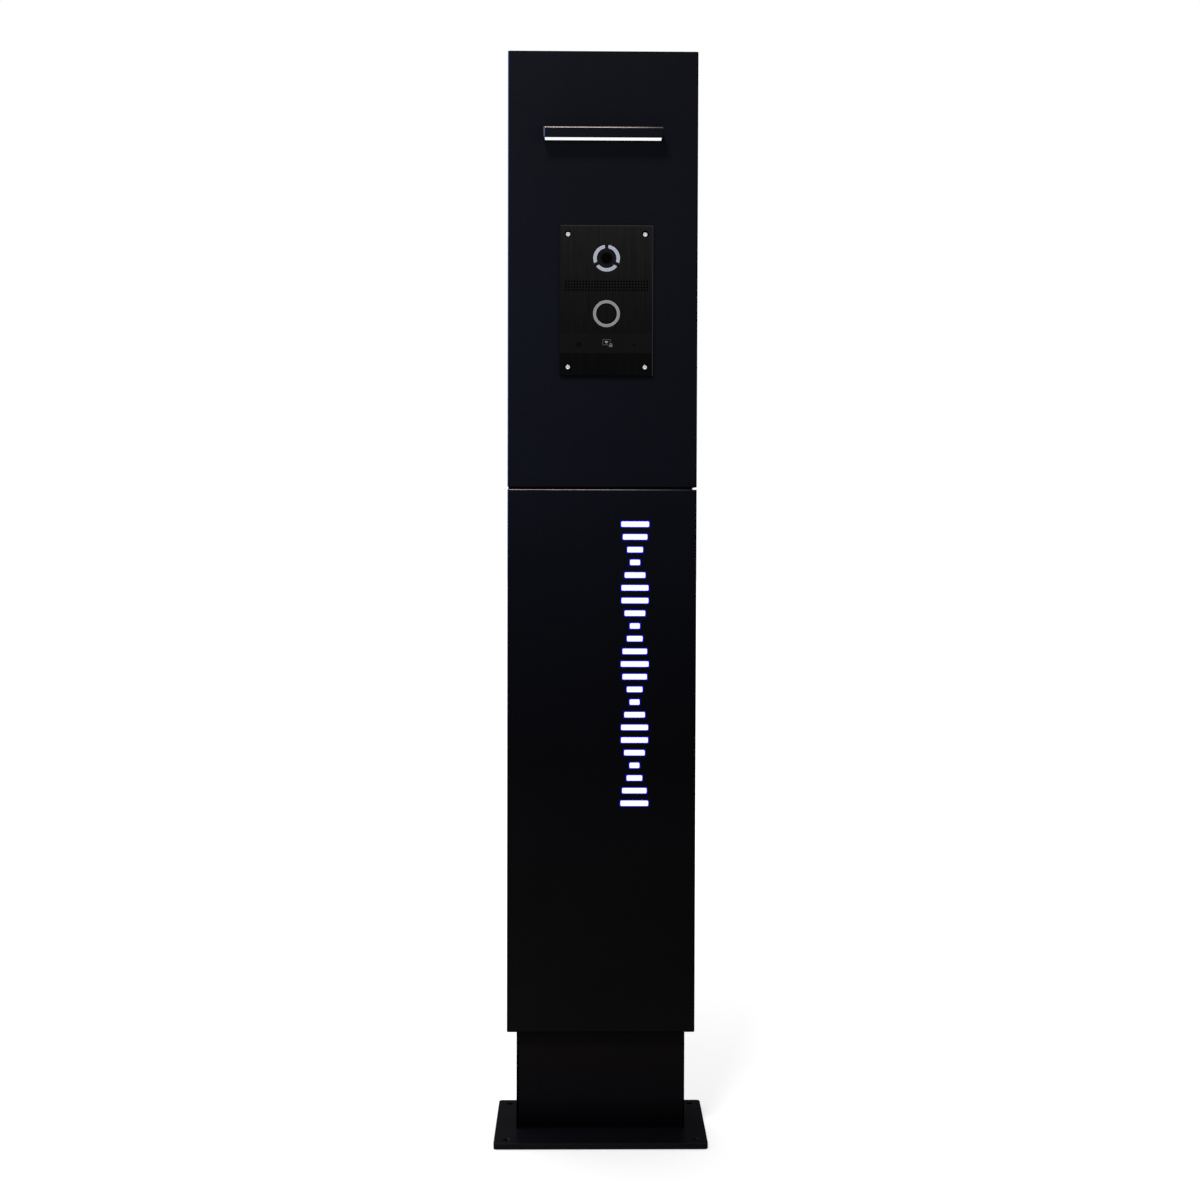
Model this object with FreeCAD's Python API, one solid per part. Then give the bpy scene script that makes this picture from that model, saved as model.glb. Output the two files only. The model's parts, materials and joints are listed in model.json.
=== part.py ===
import FreeCAD, Part
import math
import os
from FreeCAD import Vector

# A free-standing gate intercom post of black sheet steel, 1150 mm tall.
# A folded plinth stands on a bolted base plate and carries a lower housing with a
# row of back-lit slots. A head housing is bolted on top of it over a shadow gap.
# The head holds a downlight and a flush intercom unit with camera, speaker, call
# button and card reader. All sizes are in millimetres. +Z is up, the front faces
# -Y, and the origin is the middle of the base plate's underside.

# Housings, folded from sheet and closed by welded ends
sheet = 1.5
inside_bend = 1.0
housing_width = 200.0
housing_depth = 70.0
lower_height = 577.5
head_height = 456.5
rear_flange = 14.0

# Shadow gap between the housings, kept by a plate that sits a little to the left
joint_gap = 2.5
spacer_left_inset = 0.8
spacer_right_inset = 4.4
spacer_depth_inset = 3.0
spacer_rim = 12.0
joint_bolt = 8.0
joint_bolt_from_side = 25.0
passage_width = 90.0
passage_depth = 30.0

# Base plate and plinth
plate_thickness = 6.0
plate_side_overhang = 12.5
plate_front_overhang = 35.0
plate_corner = 4.0
anchor_hole = 7.0
anchor_inset = 12.5
cable_hole = 40.0
plinth_setback = 10.0
plinth_wall = 2.5
plinth_corner = 3.5
plinth_visible = 107.5
plinth_engagement = 80.0

# Saddle welded to the plinth's top and to the lower housing's side walls
saddle_wall = 3.0
saddle_upstand = 35.0
saddle_setback = 2.0
earth_stud_size = 6.0
earth_stud_length = 22.0
earth_stud_inset = 25.0

# Rear covers, hooked in at the bottom and screwed at the top
cover_reveal = 2.0
cover_screw = 4.0
cover_screw_inset = 8.0
cover_hook_width = 20.0
cover_hook_drop = 8.0
cover_hook_from_side = 40.0

# Back-lit slots in the lower housing's front
slot_count = 23
slot_height = 7.3
slot_longest = 31.0
slot_shortest = 9.0
slot_pitch = 13.46
slots_per_wave = 5.5
sign_from_side = 65.0
sign_from_top = 32.9
diffuser_thickness = 3.0
diffuser_margin = 8.0
tray_sheet = 1.0
tray_depth = 13.0
tray_flange = 12.0
tray_ledge = 4.0
tray_nut = 4.0
tray_nut_inset = 15.0
strip_board_width = 12.0
strip_board_thickness = 1.2
bead_width = 3.5
bead_height = 0.8

# Equipment plate with power supply and terminals
equipment_sheet = 2.0
equipment_gap = 2.0
equipment_flange = 18.0
equipment_below_top = 55.0
equipment_nut = 5.0
equipment_nut_inset = 20.0
supply_width = 70.0
supply_height = 99.0
supply_depth = 24.0
supply_step = 8.0
supply_ways = 5
supply_terminal_height = 16.0
supply_terminal_depth = 11.0
supply_terminal_margin = 3.0
supply_above_middle = 15.0
vent_rows = 5
vent_height = 3.0
vent_pitch = 10.0
vent_from_top = 15.0
vent_depth = 1.0
rail_below_middle = 40.0
rail_width = 35.0
rail_depth = 7.5
rail_wall = 1.0
rail_lip = 4.0
rail_length = 120.0
terminal_count = 12
terminal_width = 6.0
terminal_height = 46.0
terminal_depth = 24.0
terminal_shoulder = 8.0
terminal_well = 3.0

# Downlight bar on the head
lamp_length = 124.0
lamp_height = 11.0
lamp_projection = 20.0
lamp_from_top = 82.5
lamp_wall = 1.2
lamp_cap = 1.2
lamp_bend = 1.6
lamp_edge = 0.4
lamp_diffuser_thickness = 1.5
lamp_board_width = 8.0
lamp_board_inset = 2.0
lamp_screw = 4.0
lamp_screw_spacing = 80.0
wire_slot_width = 8.0
wire_slot_height = 3.0

# Intercom unit, set a little to the right of the middle
intercom_offset = 4.0
intercom_from_top = 261.0
face_width = 98.0
face_height = 158.0
face_thickness = 3.0
face_chamfer = 1.0
gasket_thickness = 0.8
gasket_setback = 0.5
face_overlap = 3.0
box_depth = 44.0
box_wall = 2.0
box_clearance = 0.5
box_flange = 9.0
box_flange_thickness = 2.0
box_flange_setback = 5.0
box_nut = 4.0
box_nut_from_middle = 50.0
box_boss = 7.0
box_boss_depth = 16.0
box_cable_way = 16.0
face_screw = 3.0
face_screw_head = 5.8
face_screw_sink = 7.4
face_screw_inset_x = 8.5
face_screw_inset_z = 9.5

# Camera with its three light arcs
camera_above_middle = 44.5
arc_outer = 14.7
arc_inner = 9.9
arc_gap = 3.2
window_radius = 8.4
window_recess = 0.4
lens_radius = 5.0
lens_gap = 0.4
camera_opening = 11.6
camera_body_size = 18.0
camera_body_front = 3.0
sensor_block_size = 13.0

# Black light boards that carry the camera's arcs and the button's ring
light_board_size = 34.0
light_board_thickness = 1.6
light_recess = 0.2
light_outline = 0.45

# Loudspeaker behind four rows of holes
speaker_above_middle = 15.6
speaker_columns = 29
speaker_rows = 4
speaker_pitch = 3.05
speaker_hole = 1.4
speaker_length = 40.0
speaker_height = 20.0
speaker_depth = 5.0
magnet_size = 13.0
speaker_rim = 2.5
speaker_dish = 1.5
mesh_thickness = 0.4
mesh_margin = 1.5

# Call button with its light ring
button_below_middle = 13.5
button_radius = 9.9
button_rim = 22.0
button_rim_thickness = 1.0
button_stem = 6.0
button_stem_length = 2.3
button_travel = 1.2
button_opening = 24.0
ring_outer = 14.6
ring_inner = 10.4
seal_thickness = 0.8
seal_size = 30.0
switch_size = 6.2

# Card reader band below the button
reader_top_below_middle = 33.4
reader_height = 21.6
reader_thickness = 1.5
reader_opening_width = 66.0
reader_opening_height = 15.0
antenna_thickness = 1.2
sensor_offset = 29.0
sensor_below_middle = 46.0
sensor_radius = 2.8
microphone_radius = 1.3
microphone_size = 1.6
microphone_recess = 0.5

# Main board of the intercom, and what stands on it: place, width, height and rise
board_side_gap = 2.0
board_boss_gap = 3.0
board_depth = 9.0
board_thickness = 1.6
pillar_size = 5.0
pillar_inset = 4.5
board_screw = 3.0
terminal_plug_ways = 8
terminal_plug_length = 40.0
terminal_plug_height = 12.0
terminal_plug_depth = 14.0
terminal_plug_inset = 14.0
board_parts = (
    (-5.0, 17.0, 18.0, 18.0, 2.0),
    (23.0, 16.0, 18.0, 28.0, 3.0),
    (-27.0, 17.0, 10.0, 14.0, 9.0),
    (-22.0, -6.0, 16.0, 14.0, 12.0),
)
tamper_size = 6.0
tamper_height = 5.0
tamper_plunger = 1.0
tamper_plunger_size = 2.0
tamper_inset = 14.0
tamper_below_middle = 20.0

# Clearances
bolt_clearance = 0.3
fit_clearance = 0.1
running_clearance = 0.3

# Levels and faces that follow from the sizes
front_face = -housing_depth / 2
rear_face = housing_depth / 2
side_face = housing_width / 2
inner_front = front_face + sheet
inner_rear = rear_face - sheet
inner_side = side_face - sheet
plate_top = plate_thickness
lower_bottom = plate_top + plinth_visible
lower_top = lower_bottom + lower_height
head_bottom = lower_top + joint_gap
head_top = head_bottom + head_height
plinth_top = lower_bottom + plinth_engagement
saddle_top = plinth_top + saddle_wall
plinth_half_width = side_face - plinth_setback
plinth_half_depth = rear_face - plinth_setback
joint_bolt_x = side_face - joint_bolt_from_side
sign_x = side_face - sign_from_side
sign_length = (slot_count - 1) * slot_pitch + slot_height
sign_z = lower_top - sign_from_top - sign_length / 2
lowest_slot = sign_z - sign_length / 2 + slot_height / 2
diffuser_width = slot_longest + 2 * diffuser_margin
diffuser_height = sign_length + 2 * diffuser_margin
diffuser_back = inner_front + diffuser_thickness
tray_back = inner_front + tray_depth
tray_width = diffuser_width + 2 * (fit_clearance + tray_sheet)
tray_height = diffuser_height + 2 * (fit_clearance + tray_sheet)
equipment_front = tray_back + equipment_gap
equipment_back = equipment_front + equipment_sheet
equipment_bottom = saddle_top + saddle_upstand
equipment_top = lower_top - equipment_below_top
equipment_middle = (equipment_bottom + equipment_top) / 2
supply_bottom = equipment_middle + supply_above_middle
rail_z = equipment_middle - rail_below_middle
lamp_top = head_top - lamp_from_top
lamp_bottom = lamp_top - lamp_height
lamp_z = (lamp_top + lamp_bottom) / 2
lamp_front = front_face - lamp_projection
lamp_y = (lamp_front + front_face) / 2
lamp_inner_half = lamp_length / 2 - lamp_cap
intercom_z = head_top - intercom_from_top
gasket_front = front_face - gasket_thickness
face_front = gasket_front - face_thickness
box_width = face_width - 2 * face_overlap
box_height = face_height - 2 * face_overlap
box_back = front_face + box_depth
box_cable_z = intercom_z - box_height / 4
face_screw_x = face_width / 2 - face_screw_inset_x
face_screw_z = face_height / 2 - face_screw_inset_z
face_screw_hole = face_screw / 2 + bolt_clearance
camera_z = intercom_z + camera_above_middle
speaker_z = intercom_z + speaker_above_middle
button_z = intercom_z - button_below_middle
reader_z = intercom_z - reader_top_below_middle - reader_height / 2
sensor_z = intercom_z - sensor_below_middle
light_board_back = gasket_front + light_board_thickness
button_rim_front = gasket_front + running_clearance
button_rim_back = button_rim_front + button_rim_thickness
button_stem_end = button_rim_back + button_stem_length
seal_back = button_stem_end + seal_thickness
strip_back = face_front + reader_thickness
board_front = gasket_front + board_depth
board_back = board_front + board_thickness
board_width = box_width - 2 * (box_wall + board_side_gap)
board_height = 2 * face_screw_z - box_boss - 2 * board_boss_gap
tamper_x = intercom_offset + board_width / 2 - tamper_inset
tamper_z = intercom_z - tamper_below_middle


# Shapes used by many pieces


def block(x0, x1, y0, y1, z0, z1):
    return Part.makeBox(x1 - x0, y1 - y0, z1 - z0, Vector(x0, y0, z0))


def panel(x, z, width, height, y0, y1):
    """A block that faces the front, given by its middle and its two faces."""
    return block(x - width / 2, x + width / 2, y0, y1, z - height / 2, z + height / 2)


def rod_y(radius, x, y0, y1, z):
    return Part.makeCylinder(radius, y1 - y0, Vector(x, y0, z), Vector(0, 1, 0))


def rod_z(radius, x, y, z0, z1):
    return Part.makeCylinder(radius, z1 - z0, Vector(x, y, z0), Vector(0, 0, 1))


def turned(x, z, profile):
    """A solid turned about a line along Y, from (radius, y) points."""
    points = [Vector(x + radius, y, z) for radius, y in profile]
    face = Part.Face(Part.makePolygon(points + points[:1]))
    return face.revolve(Vector(x, 0, z), Vector(0, 1, 0), 360)


def hexagon(size, centre, direction, length):
    """A hexagonal prism, as wide as a nut or bolt head of that thread size."""
    corner = 1.7 * size / math.sqrt(3)
    angles = [math.radians(60 * i) for i in range(7)]
    points = [Vector(corner * math.cos(a), corner * math.sin(a), 0) for a in angles]
    prism = Part.Face(Part.makePolygon(points)).extrude(Vector(0, 0, length))
    prism.Placement = FreeCAD.Placement(centre, FreeCAD.Rotation(Vector(0, 0, 1), direction))
    return prism


def hexagon_heads(size, seats, direction):
    """Closed nuts or screw heads, each bearing on the sheet at its seat."""
    return Part.makeCompound([hexagon(size, seat, direction, 0.7 * size) for seat in seats])


def edges_along(shape, axis, keep=lambda box: True):
    """The straight edges that run along an axis, of those whose box is wanted."""
    found = []
    for edge in shape.Edges:
        run = edge.Vertexes[-1].Point - edge.Vertexes[0].Point
        if run.Length > 1e-6 and run.cross(axis).Length < 1e-6 * run.Length and keep(edge.BoundBox):
            found.append(edge)
    return found


def rounded(shape, radius, axis):
    return shape.makeFillet(radius, edges_along(shape, axis))


def cut_all(shape, tools):
    return shape.cut(Part.makeCompound(tools))


def fused(shapes):
    return shapes[0].multiFuse(shapes[1:]).removeSplitter()


def four_ways(half_x, half_y):
    return [(sx * half_x, sy * half_y) for sx in (-1, 1) for sy in (-1, 1)]


# Base plate and plinth


def base_plate():
    half_x = side_face + plate_side_overhang
    half_y = rear_face + plate_front_overhang
    plate = rounded(block(-half_x, half_x, -half_y, half_y, 0, plate_top), plate_corner, Vector(0, 0, 1))
    holes = [
        rod_z(anchor_hole / 2, x, y, 0, plate_top)
        for x, y in four_ways(half_x - anchor_inset, half_y - anchor_inset)
    ]
    return cut_all(plate, holes + [rod_z(cable_hole / 2, 0, 0, 0, plate_top)])


def plinth_block(inset, z0, z1):
    half_x = plinth_half_width - inset
    half_y = plinth_half_depth - inset
    return block(-half_x, half_x, -half_y, half_y, z0, z1)


def plinth_tube():
    outer = rounded(plinth_block(0, plate_top, plinth_top), plinth_corner, Vector(0, 0, 1))
    inner = plinth_block(plinth_wall, plate_top, plinth_top)
    return outer.cut(rounded(inner, plinth_corner - plinth_wall, Vector(0, 0, 1)))


def passage(z0, z1):
    """The way for cables through every plate between plinth and head."""
    return block(-passage_width / 2, passage_width / 2, -passage_depth / 2, passage_depth / 2, z0, z1)


def saddle_bracket():
    """Folded bracket: a web on the plinth's top and an upstand along each side wall."""
    half_y = plinth_half_depth - saddle_setback
    outer = block(-inner_side, inner_side, -half_y, half_y, plinth_top, equipment_bottom)
    inner_half = inner_side - saddle_wall
    inner = block(-inner_half, inner_half, -half_y, half_y, saddle_top, equipment_bottom)
    folds = edges_along(outer, Vector(0, 1, 0), lambda box: box.ZMax < saddle_top)
    return cut_all(outer.makeFillet(saddle_wall, folds), [inner, passage(plinth_top, saddle_top)])


def earth_stud():
    """Weld stud on the saddle with its nut."""
    x = plinth_half_width - earth_stud_inset
    stud = rod_z(earth_stud_size / 2, x, 0, saddle_top, saddle_top + earth_stud_length)
    nut = hexagon(earth_stud_size, Vector(x, 0, saddle_top), Vector(0, 0, 1), 0.8 * earth_stud_size)
    return fused([stud, nut])


# Folded housings


def folded_shell(bottom, top):
    """A sheet box with bent upright edges, open at the back between its flanges."""
    outer = block(-side_face, side_face, front_face, rear_face, bottom, top)
    inner = block(-inner_side, inner_side, inner_front, inner_rear, bottom + sheet, top - sheet)
    outer = rounded(outer, inside_bend + sheet, Vector(0, 0, 1))
    inner = rounded(inner, inside_bend, Vector(0, 0, 1))
    window = panel(
        0, (bottom + top) / 2, housing_width - 2 * rear_flange, top - bottom - 2 * rear_flange,
        inner_rear - inside_bend, rear_face,
    )
    return outer.cut(inner).cut(window)


def rear_cover(bottom, top):
    """Flat cover with two hooks that drop behind the housing's bottom flange."""
    cover = panel(
        0, (bottom + top) / 2, housing_width - 2 * cover_reveal, top - bottom - 2 * cover_reveal,
        rear_face, rear_face + sheet,
    )
    tab_bottom = bottom + rear_flange + fit_clearance
    tab_top = tab_bottom + sheet
    hook_back = inner_rear - fit_clearance
    hooks = []
    for side in (-1, 1):
        x = side * (side_face - cover_hook_from_side)
        x0 = x - cover_hook_width / 2
        x1 = x + cover_hook_width / 2
        hooks.append(block(x0, x1, hook_back - sheet, rear_face, tab_bottom, tab_top))
        hooks.append(block(x0, x1, hook_back - sheet, hook_back, tab_bottom - cover_hook_drop, tab_top))
    return fused([cover] + hooks)


def rear_screws(top):
    x = side_face - cover_screw_inset
    seats = [Vector(side * x, rear_face + sheet, top - cover_screw_inset) for side in (-1, 1)]
    return hexagon_heads(cover_screw, seats, Vector(0, 1, 0))


def joint_cuts(z0, z1):
    """Bolt holes and the cable passage through the two sheets at the shadow gap."""
    radius = joint_bolt / 2 + bolt_clearance
    return [passage(z0, z1)] + [rod_z(radius, side * joint_bolt_x, 0, z0, z1) for side in (-1, 1)]


def joint_spacer():
    """Rectangular frame that keeps the gap and lets bolts and cables pass inside it."""
    x0 = spacer_left_inset - side_face
    x1 = side_face - spacer_right_inset
    y1 = rear_face - spacer_depth_inset
    frame = block(x0, x1, -y1, y1, lower_top, head_bottom)
    return frame.cut(block(
        x0 + spacer_rim, x1 - spacer_rim, spacer_rim - y1, y1 - spacer_rim, lower_top, head_bottom
    ))


def joint_bolts():
    """Bolts from inside the head, down to the closed nuts under the lower housing's top."""
    seat = head_bottom + sheet
    bolts = []
    for side in (-1, 1):
        x = side * joint_bolt_x
        head = hexagon(joint_bolt, Vector(x, 0, seat), Vector(0, 0, 1), 0.7 * joint_bolt)
        bolts.append(fused([head, rod_z(joint_bolt / 2, x, 0, lower_top - sheet, seat)]))
    return Part.makeCompound(bolts)


def joint_nuts():
    seats = [Vector(side * joint_bolt_x, 0, lower_top - sheet) for side in (-1, 1)]
    return hexagon_heads(joint_bolt, seats, Vector(0, 0, -1))


# Lower housing with its back-lit slots


def slot_length(index):
    """The bars swell and shrink like the trace of a voice."""
    from_middle = index - (slot_count - 1) / 2
    swell = abs(math.cos(math.pi * from_middle / slots_per_wave))
    return slot_shortest + (slot_longest - slot_shortest) * swell


def lower_housing():
    plinth_way = plinth_block(-running_clearance, lower_bottom, lower_bottom + sheet)
    slots = [
        panel(sign_x, lowest_slot + i * slot_pitch, slot_length(i), slot_height, front_face, inner_front)
        for i in range(slot_count)
    ]
    cuts = [plinth_way] + joint_cuts(lower_top - sheet, lower_top) + slots
    return cut_all(folded_shell(lower_bottom, lower_top), cuts)


def sign_diffuser():
    return panel(sign_x, sign_z, diffuser_width, diffuser_height, inner_front, diffuser_back)


def sign_tray():
    """Folded light box: side flanges on the front sheet, ledges behind the diffuser."""
    body = panel(sign_x, sign_z, tray_width, tray_height, inner_front, tray_back)
    flange = panel(
        sign_x, sign_z, tray_width + 2 * tray_flange, tray_height, inner_front, inner_front + tray_sheet
    )
    seat = panel(
        sign_x, sign_z, tray_width - 2 * tray_sheet, tray_height - 2 * tray_sheet,
        inner_front, diffuser_back,
    )
    hollow = panel(
        sign_x, sign_z, tray_width - 2 * tray_sheet, diffuser_height - 2 * tray_ledge,
        diffuser_back, tray_back - tray_sheet,
    )
    return fused([body, flange]).cut(seat.fuse(hollow))


def sign_tray_nuts():
    half_x = (tray_width + tray_flange) / 2
    half_z = tray_height / 2 - tray_nut_inset
    y = inner_front + tray_sheet
    seats = [Vector(sign_x + dx, y, sign_z + dz) for dx, dz in four_ways(half_x, half_z)]
    return hexagon_heads(tray_nut, seats, Vector(0, 1, 0))


def sign_led_strip():
    """Circuit strip on the tray's back wall, with a light bead along its middle."""
    back = tray_back - tray_sheet
    front = back - strip_board_thickness
    board = panel(sign_x, sign_z, strip_board_width, sign_length, front, back)
    bead_length = sign_length - strip_board_width
    return board.fuse(panel(sign_x, sign_z, bead_width, bead_length, front - bead_height, front))


# Equipment plate inside the lower housing


def equipment_plate():
    """Folded plate that stands on the saddle, with a flange along each side wall."""
    flange_back = equipment_front + equipment_flange
    outer = block(-inner_side, inner_side, equipment_front, flange_back, equipment_bottom, equipment_top)
    inner = block(
        equipment_sheet - inner_side, inner_side - equipment_sheet,
        equipment_back, flange_back, equipment_bottom, equipment_top,
    )
    folds = edges_along(outer, Vector(0, 0, 1), lambda box: box.YMax < equipment_back)
    return outer.makeFillet(equipment_sheet, folds).cut(inner)


def equipment_nuts():
    y = equipment_back + (equipment_flange - equipment_sheet) / 2
    x = inner_side - equipment_sheet
    rows = (equipment_bottom + equipment_nut_inset, equipment_top - equipment_nut_inset)
    sides = [
        hexagon_heads(equipment_nut, [Vector(side * x, y, z) for z in rows], Vector(-side, 0, 0))
        for side in (-1, 1)
    ]
    return Part.makeCompound([solid for half in sides for solid in half.Solids])


def power_supply():
    """Enclosed supply with a stepped end for its terminals and rows of cooling slots."""
    top = supply_bottom + supply_height
    back = equipment_back + supply_depth
    case = block(-supply_width / 2, supply_width / 2, equipment_back, back, supply_bottom, top)
    step = block(
        -supply_width / 2, supply_width / 2, equipment_back + supply_step, back,
        supply_bottom, supply_bottom + supply_terminal_height,
    )
    vents = [
        panel(
            side * supply_width / 4, top - vent_from_top - row * vent_pitch, supply_width / 3, vent_height,
            back - vent_depth, back,
        )
        for side in (-1, 1)
        for row in range(vent_rows)
    ]
    return cut_all(case, [step] + vents)


def terminal_row(x, z, length, height, ways, y0, y1):
    """A terminal block with a square well for each of its ways."""
    body = panel(x, z, length, height, y0, y1)
    pitch = length / ways
    well = 0.6 * pitch
    first = x - length / 2 + pitch / 2
    return cut_all(body, [
        panel(first + i * pitch, z, well, well, y1 - terminal_well, y1) for i in range(ways)
    ])


def supply_terminals():
    front = equipment_back + supply_step
    return terminal_row(
        0, supply_bottom + supply_terminal_height / 2, supply_width - 4 * supply_terminal_margin,
        supply_terminal_height - supply_terminal_margin,
        supply_ways, front, front + supply_terminal_depth,
    )


def din_rail():
    """Top-hat rail, open to the plate, with its two lips turned out."""
    back = equipment_back + rail_depth
    hat_height = rail_width - 2 * rail_lip
    hat = panel(0, rail_z, rail_length, hat_height, equipment_back, back)
    lips = panel(0, rail_z, rail_length, rail_width, back - rail_wall, back)
    hollow = panel(
        0, rail_z, rail_length, hat_height - 2 * rail_wall, equipment_back + rail_wall, back
    )
    return fused([hat, lips]).cut(hollow)


def rail_terminals():
    """Feed-through terminals side by side on the rail, with sloped shoulders."""
    front = equipment_back + rail_depth
    back = front + terminal_depth
    first = -terminal_width * (terminal_count - 1) / 2
    terminals = []
    for i in range(terminal_count):
        x = first + i * terminal_width
        body = panel(x, rail_z, terminal_width - running_clearance, terminal_height, front, back)
        shoulders = edges_along(body, Vector(1, 0, 0), lambda box: box.YMin > back - 1e-6)
        terminals.append(body.makeChamfer(terminal_shoulder, shoulders))
    return Part.makeCompound(terminals)


# Head housing with the downlight


def wire_slot(y0, y1):
    return panel(0, lamp_z, wire_slot_width, wire_slot_height, y0, y1)


def head_housing():
    intercom_way = panel(
        intercom_offset, intercom_z, box_width + 2 * box_clearance, box_height + 2 * box_clearance,
        front_face, inner_front,
    )
    cuts = [intercom_way, wire_slot(front_face, inner_front)]
    cuts += joint_cuts(head_bottom, head_bottom + sheet)
    return cut_all(folded_shell(head_bottom, head_top), cuts)


def lamp_bar(x0, x1):
    """A length of the lamp's outer section: bent at the top, broken at the bottom edge."""
    bar = block(x0, x1, lamp_front, front_face, lamp_bottom, lamp_top)
    along = Vector(1, 0, 0)
    top_edge = edges_along(bar, along, lambda box: box.YMax < lamp_y and box.ZMin > lamp_z)
    bar = bar.makeFillet(lamp_bend, top_edge)
    bottom_edge = edges_along(bar, along, lambda box: box.YMax < lamp_y and box.ZMax < lamp_z - lamp_edge)
    return bar.makeChamfer(lamp_edge, bottom_edge)


def lamp_housing():
    """Channel that opens downwards, with a ledge along each wall above the diffuser."""
    hollow = block(
        -lamp_inner_half, lamp_inner_half, lamp_front + lamp_wall, front_face - lamp_wall,
        lamp_bottom, lamp_top - lamp_wall,
    )
    ledge_bottom = lamp_bottom + lamp_diffuser_thickness
    ledges = [
        block(
            -lamp_inner_half, lamp_inner_half, y, y + lamp_wall, ledge_bottom, ledge_bottom + lamp_wall
        )
        for y in (lamp_front + lamp_wall, front_face - 2 * lamp_wall)
    ]
    channel = fused([lamp_bar(-lamp_inner_half, lamp_inner_half).cut(hollow)] + ledges)
    return channel.cut(wire_slot(front_face - lamp_wall, front_face))


def lamp_end_caps():
    return Part.makeCompound([
        lamp_bar(-lamp_length / 2, -lamp_inner_half), lamp_bar(lamp_inner_half, lamp_length / 2)
    ])


def lamp_diffuser():
    return block(
        -lamp_inner_half, lamp_inner_half, lamp_front + lamp_wall + fit_clearance,
        front_face - lamp_wall - fit_clearance, lamp_bottom, lamp_bottom + lamp_diffuser_thickness,
    )


def lamp_led_strip():
    """The same kind of strip under the lamp's top wall, with its bead facing down."""
    half_x = lamp_inner_half - lamp_board_inset
    half_y = lamp_board_width / 2
    top = lamp_top - lamp_wall
    bottom = top - strip_board_thickness
    board = block(-half_x, half_x, lamp_y - half_y, lamp_y + half_y, bottom, top)
    bead_x = half_x - lamp_board_width / 2
    return board.fuse(block(
        -bead_x, bead_x, lamp_y - bead_width / 2, lamp_y + bead_width / 2, bottom - bead_height, bottom
    ))


def lamp_screws():
    seats = [Vector(side * lamp_screw_spacing / 2, inner_front, lamp_z) for side in (-1, 1)]
    return hexagon_heads(lamp_screw, seats, Vector(0, 1, 0))


# Intercom unit: mounting box, face plate and fasteners


def unit_panel(width, height, y0, y1):
    return panel(intercom_offset, intercom_z, width, height, y0, y1)


def face_screw_places():
    return [
        (intercom_offset + dx, intercom_z + dz) for dx, dz in four_ways(face_screw_x, face_screw_z)
    ]


def intercom_back_box():
    """Flush mounting box with corner bosses, a flange and a post for the tamper switch."""
    shell = unit_panel(box_width, box_height, front_face, box_back)
    hollow = unit_panel(
        box_width - 2 * box_wall, box_height - 2 * box_wall, front_face, box_back - box_wall
    )
    flange = unit_panel(
        box_width + 2 * (box_clearance + box_flange), box_height - 2 * box_flange_setback,
        inner_front, inner_front + box_flange_thickness,
    )
    middle = unit_panel(
        box_width - box_wall, box_height - box_wall, inner_front, inner_front + box_flange_thickness
    )
    bosses = []
    for side_x, side_z in four_ways(1, 1):
        xs = sorted(side_x * d for d in (face_screw_x - box_boss / 2, (box_width - box_wall) / 2))
        zs = sorted(side_z * d for d in (face_screw_z - box_boss / 2, (box_height - box_wall) / 2))
        bosses.append(block(
            intercom_offset + xs[0], intercom_offset + xs[1], front_face, front_face + box_boss_depth,
            intercom_z + zs[0], intercom_z + zs[1],
        ))
    post_front = board_back + tamper_height + tamper_plunger
    post = panel(tamper_x, tamper_z, tamper_size, tamper_size, post_front, box_back - box_wall / 2)
    box = fused([shell.cut(hollow), flange.cut(middle), post] + bosses)
    return box.cut(panel(
        intercom_offset, box_cable_z, box_cable_way, box_cable_way, box_back - box_wall, box_back
    ))


def box_nuts():
    x = box_width / 2 + box_clearance + box_flange / 2
    y = inner_front + box_flange_thickness
    seats = [
        Vector(intercom_offset + dx, y, intercom_z + dz) for dx, dz in four_ways(x, box_nut_from_middle)
    ]
    return hexagon_heads(box_nut, seats, Vector(0, 1, 0))


def intercom_gasket():
    """Flat gasket between the plate and the rims of housing and box."""
    outer = unit_panel(
        face_width - 2 * gasket_setback, face_height - 2 * gasket_setback, gasket_front, front_face
    )
    return outer.cut(unit_panel(box_width - box_wall, box_height - box_wall, gasket_front, front_face))


def speaker_hole_places():
    places = []
    for column in range(speaker_columns):
        for row in range(speaker_rows):
            dx = (column - (speaker_columns - 1) / 2) * speaker_pitch
            dz = (row - (speaker_rows - 1) / 2) * speaker_pitch
            places.append((intercom_offset + dx, speaker_z + dz))
    return places


def intercom_face_plate():
    """Brushed plate with its camera and button openings, the speaker's perforation, a
    pocket right across for the reader strip, and countersinks at the corners."""
    plate = unit_panel(face_width, face_height, face_front, gasket_front)
    rim = [edge for edge in plate.Edges if edge.BoundBox.YMax < face_front + 1e-6]
    plate = plate.makeChamfer(face_chamfer, rim)
    cuts = [
        panel(intercom_offset, reader_z, face_width, reader_height, face_front, strip_back),
        panel(
            intercom_offset, reader_z, reader_opening_width, reader_opening_height, strip_back, gasket_front
        ),
        arcs(
            arc_inner - light_outline, arc_outer + light_outline, arc_gap - 2 * light_outline, face_front
        ),
        rod_y(window_radius + fit_clearance, intercom_offset, face_front, gasket_front, camera_z),
        rod_y(ring_outer + light_outline, intercom_offset, face_front, gasket_front, button_z),
    ]
    for x, z in face_screw_places():
        cuts.append(Part.makeCone(
            face_screw_sink / 2, face_screw_hole, face_thickness, Vector(x, face_front, z),
            Vector(0, 1, 0),
        ))
    cuts += [
        panel(x, z, speaker_hole, speaker_hole, face_front, gasket_front)
        for x, z in speaker_hole_places()
    ]
    return cut_all(plate, cuts)


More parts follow.
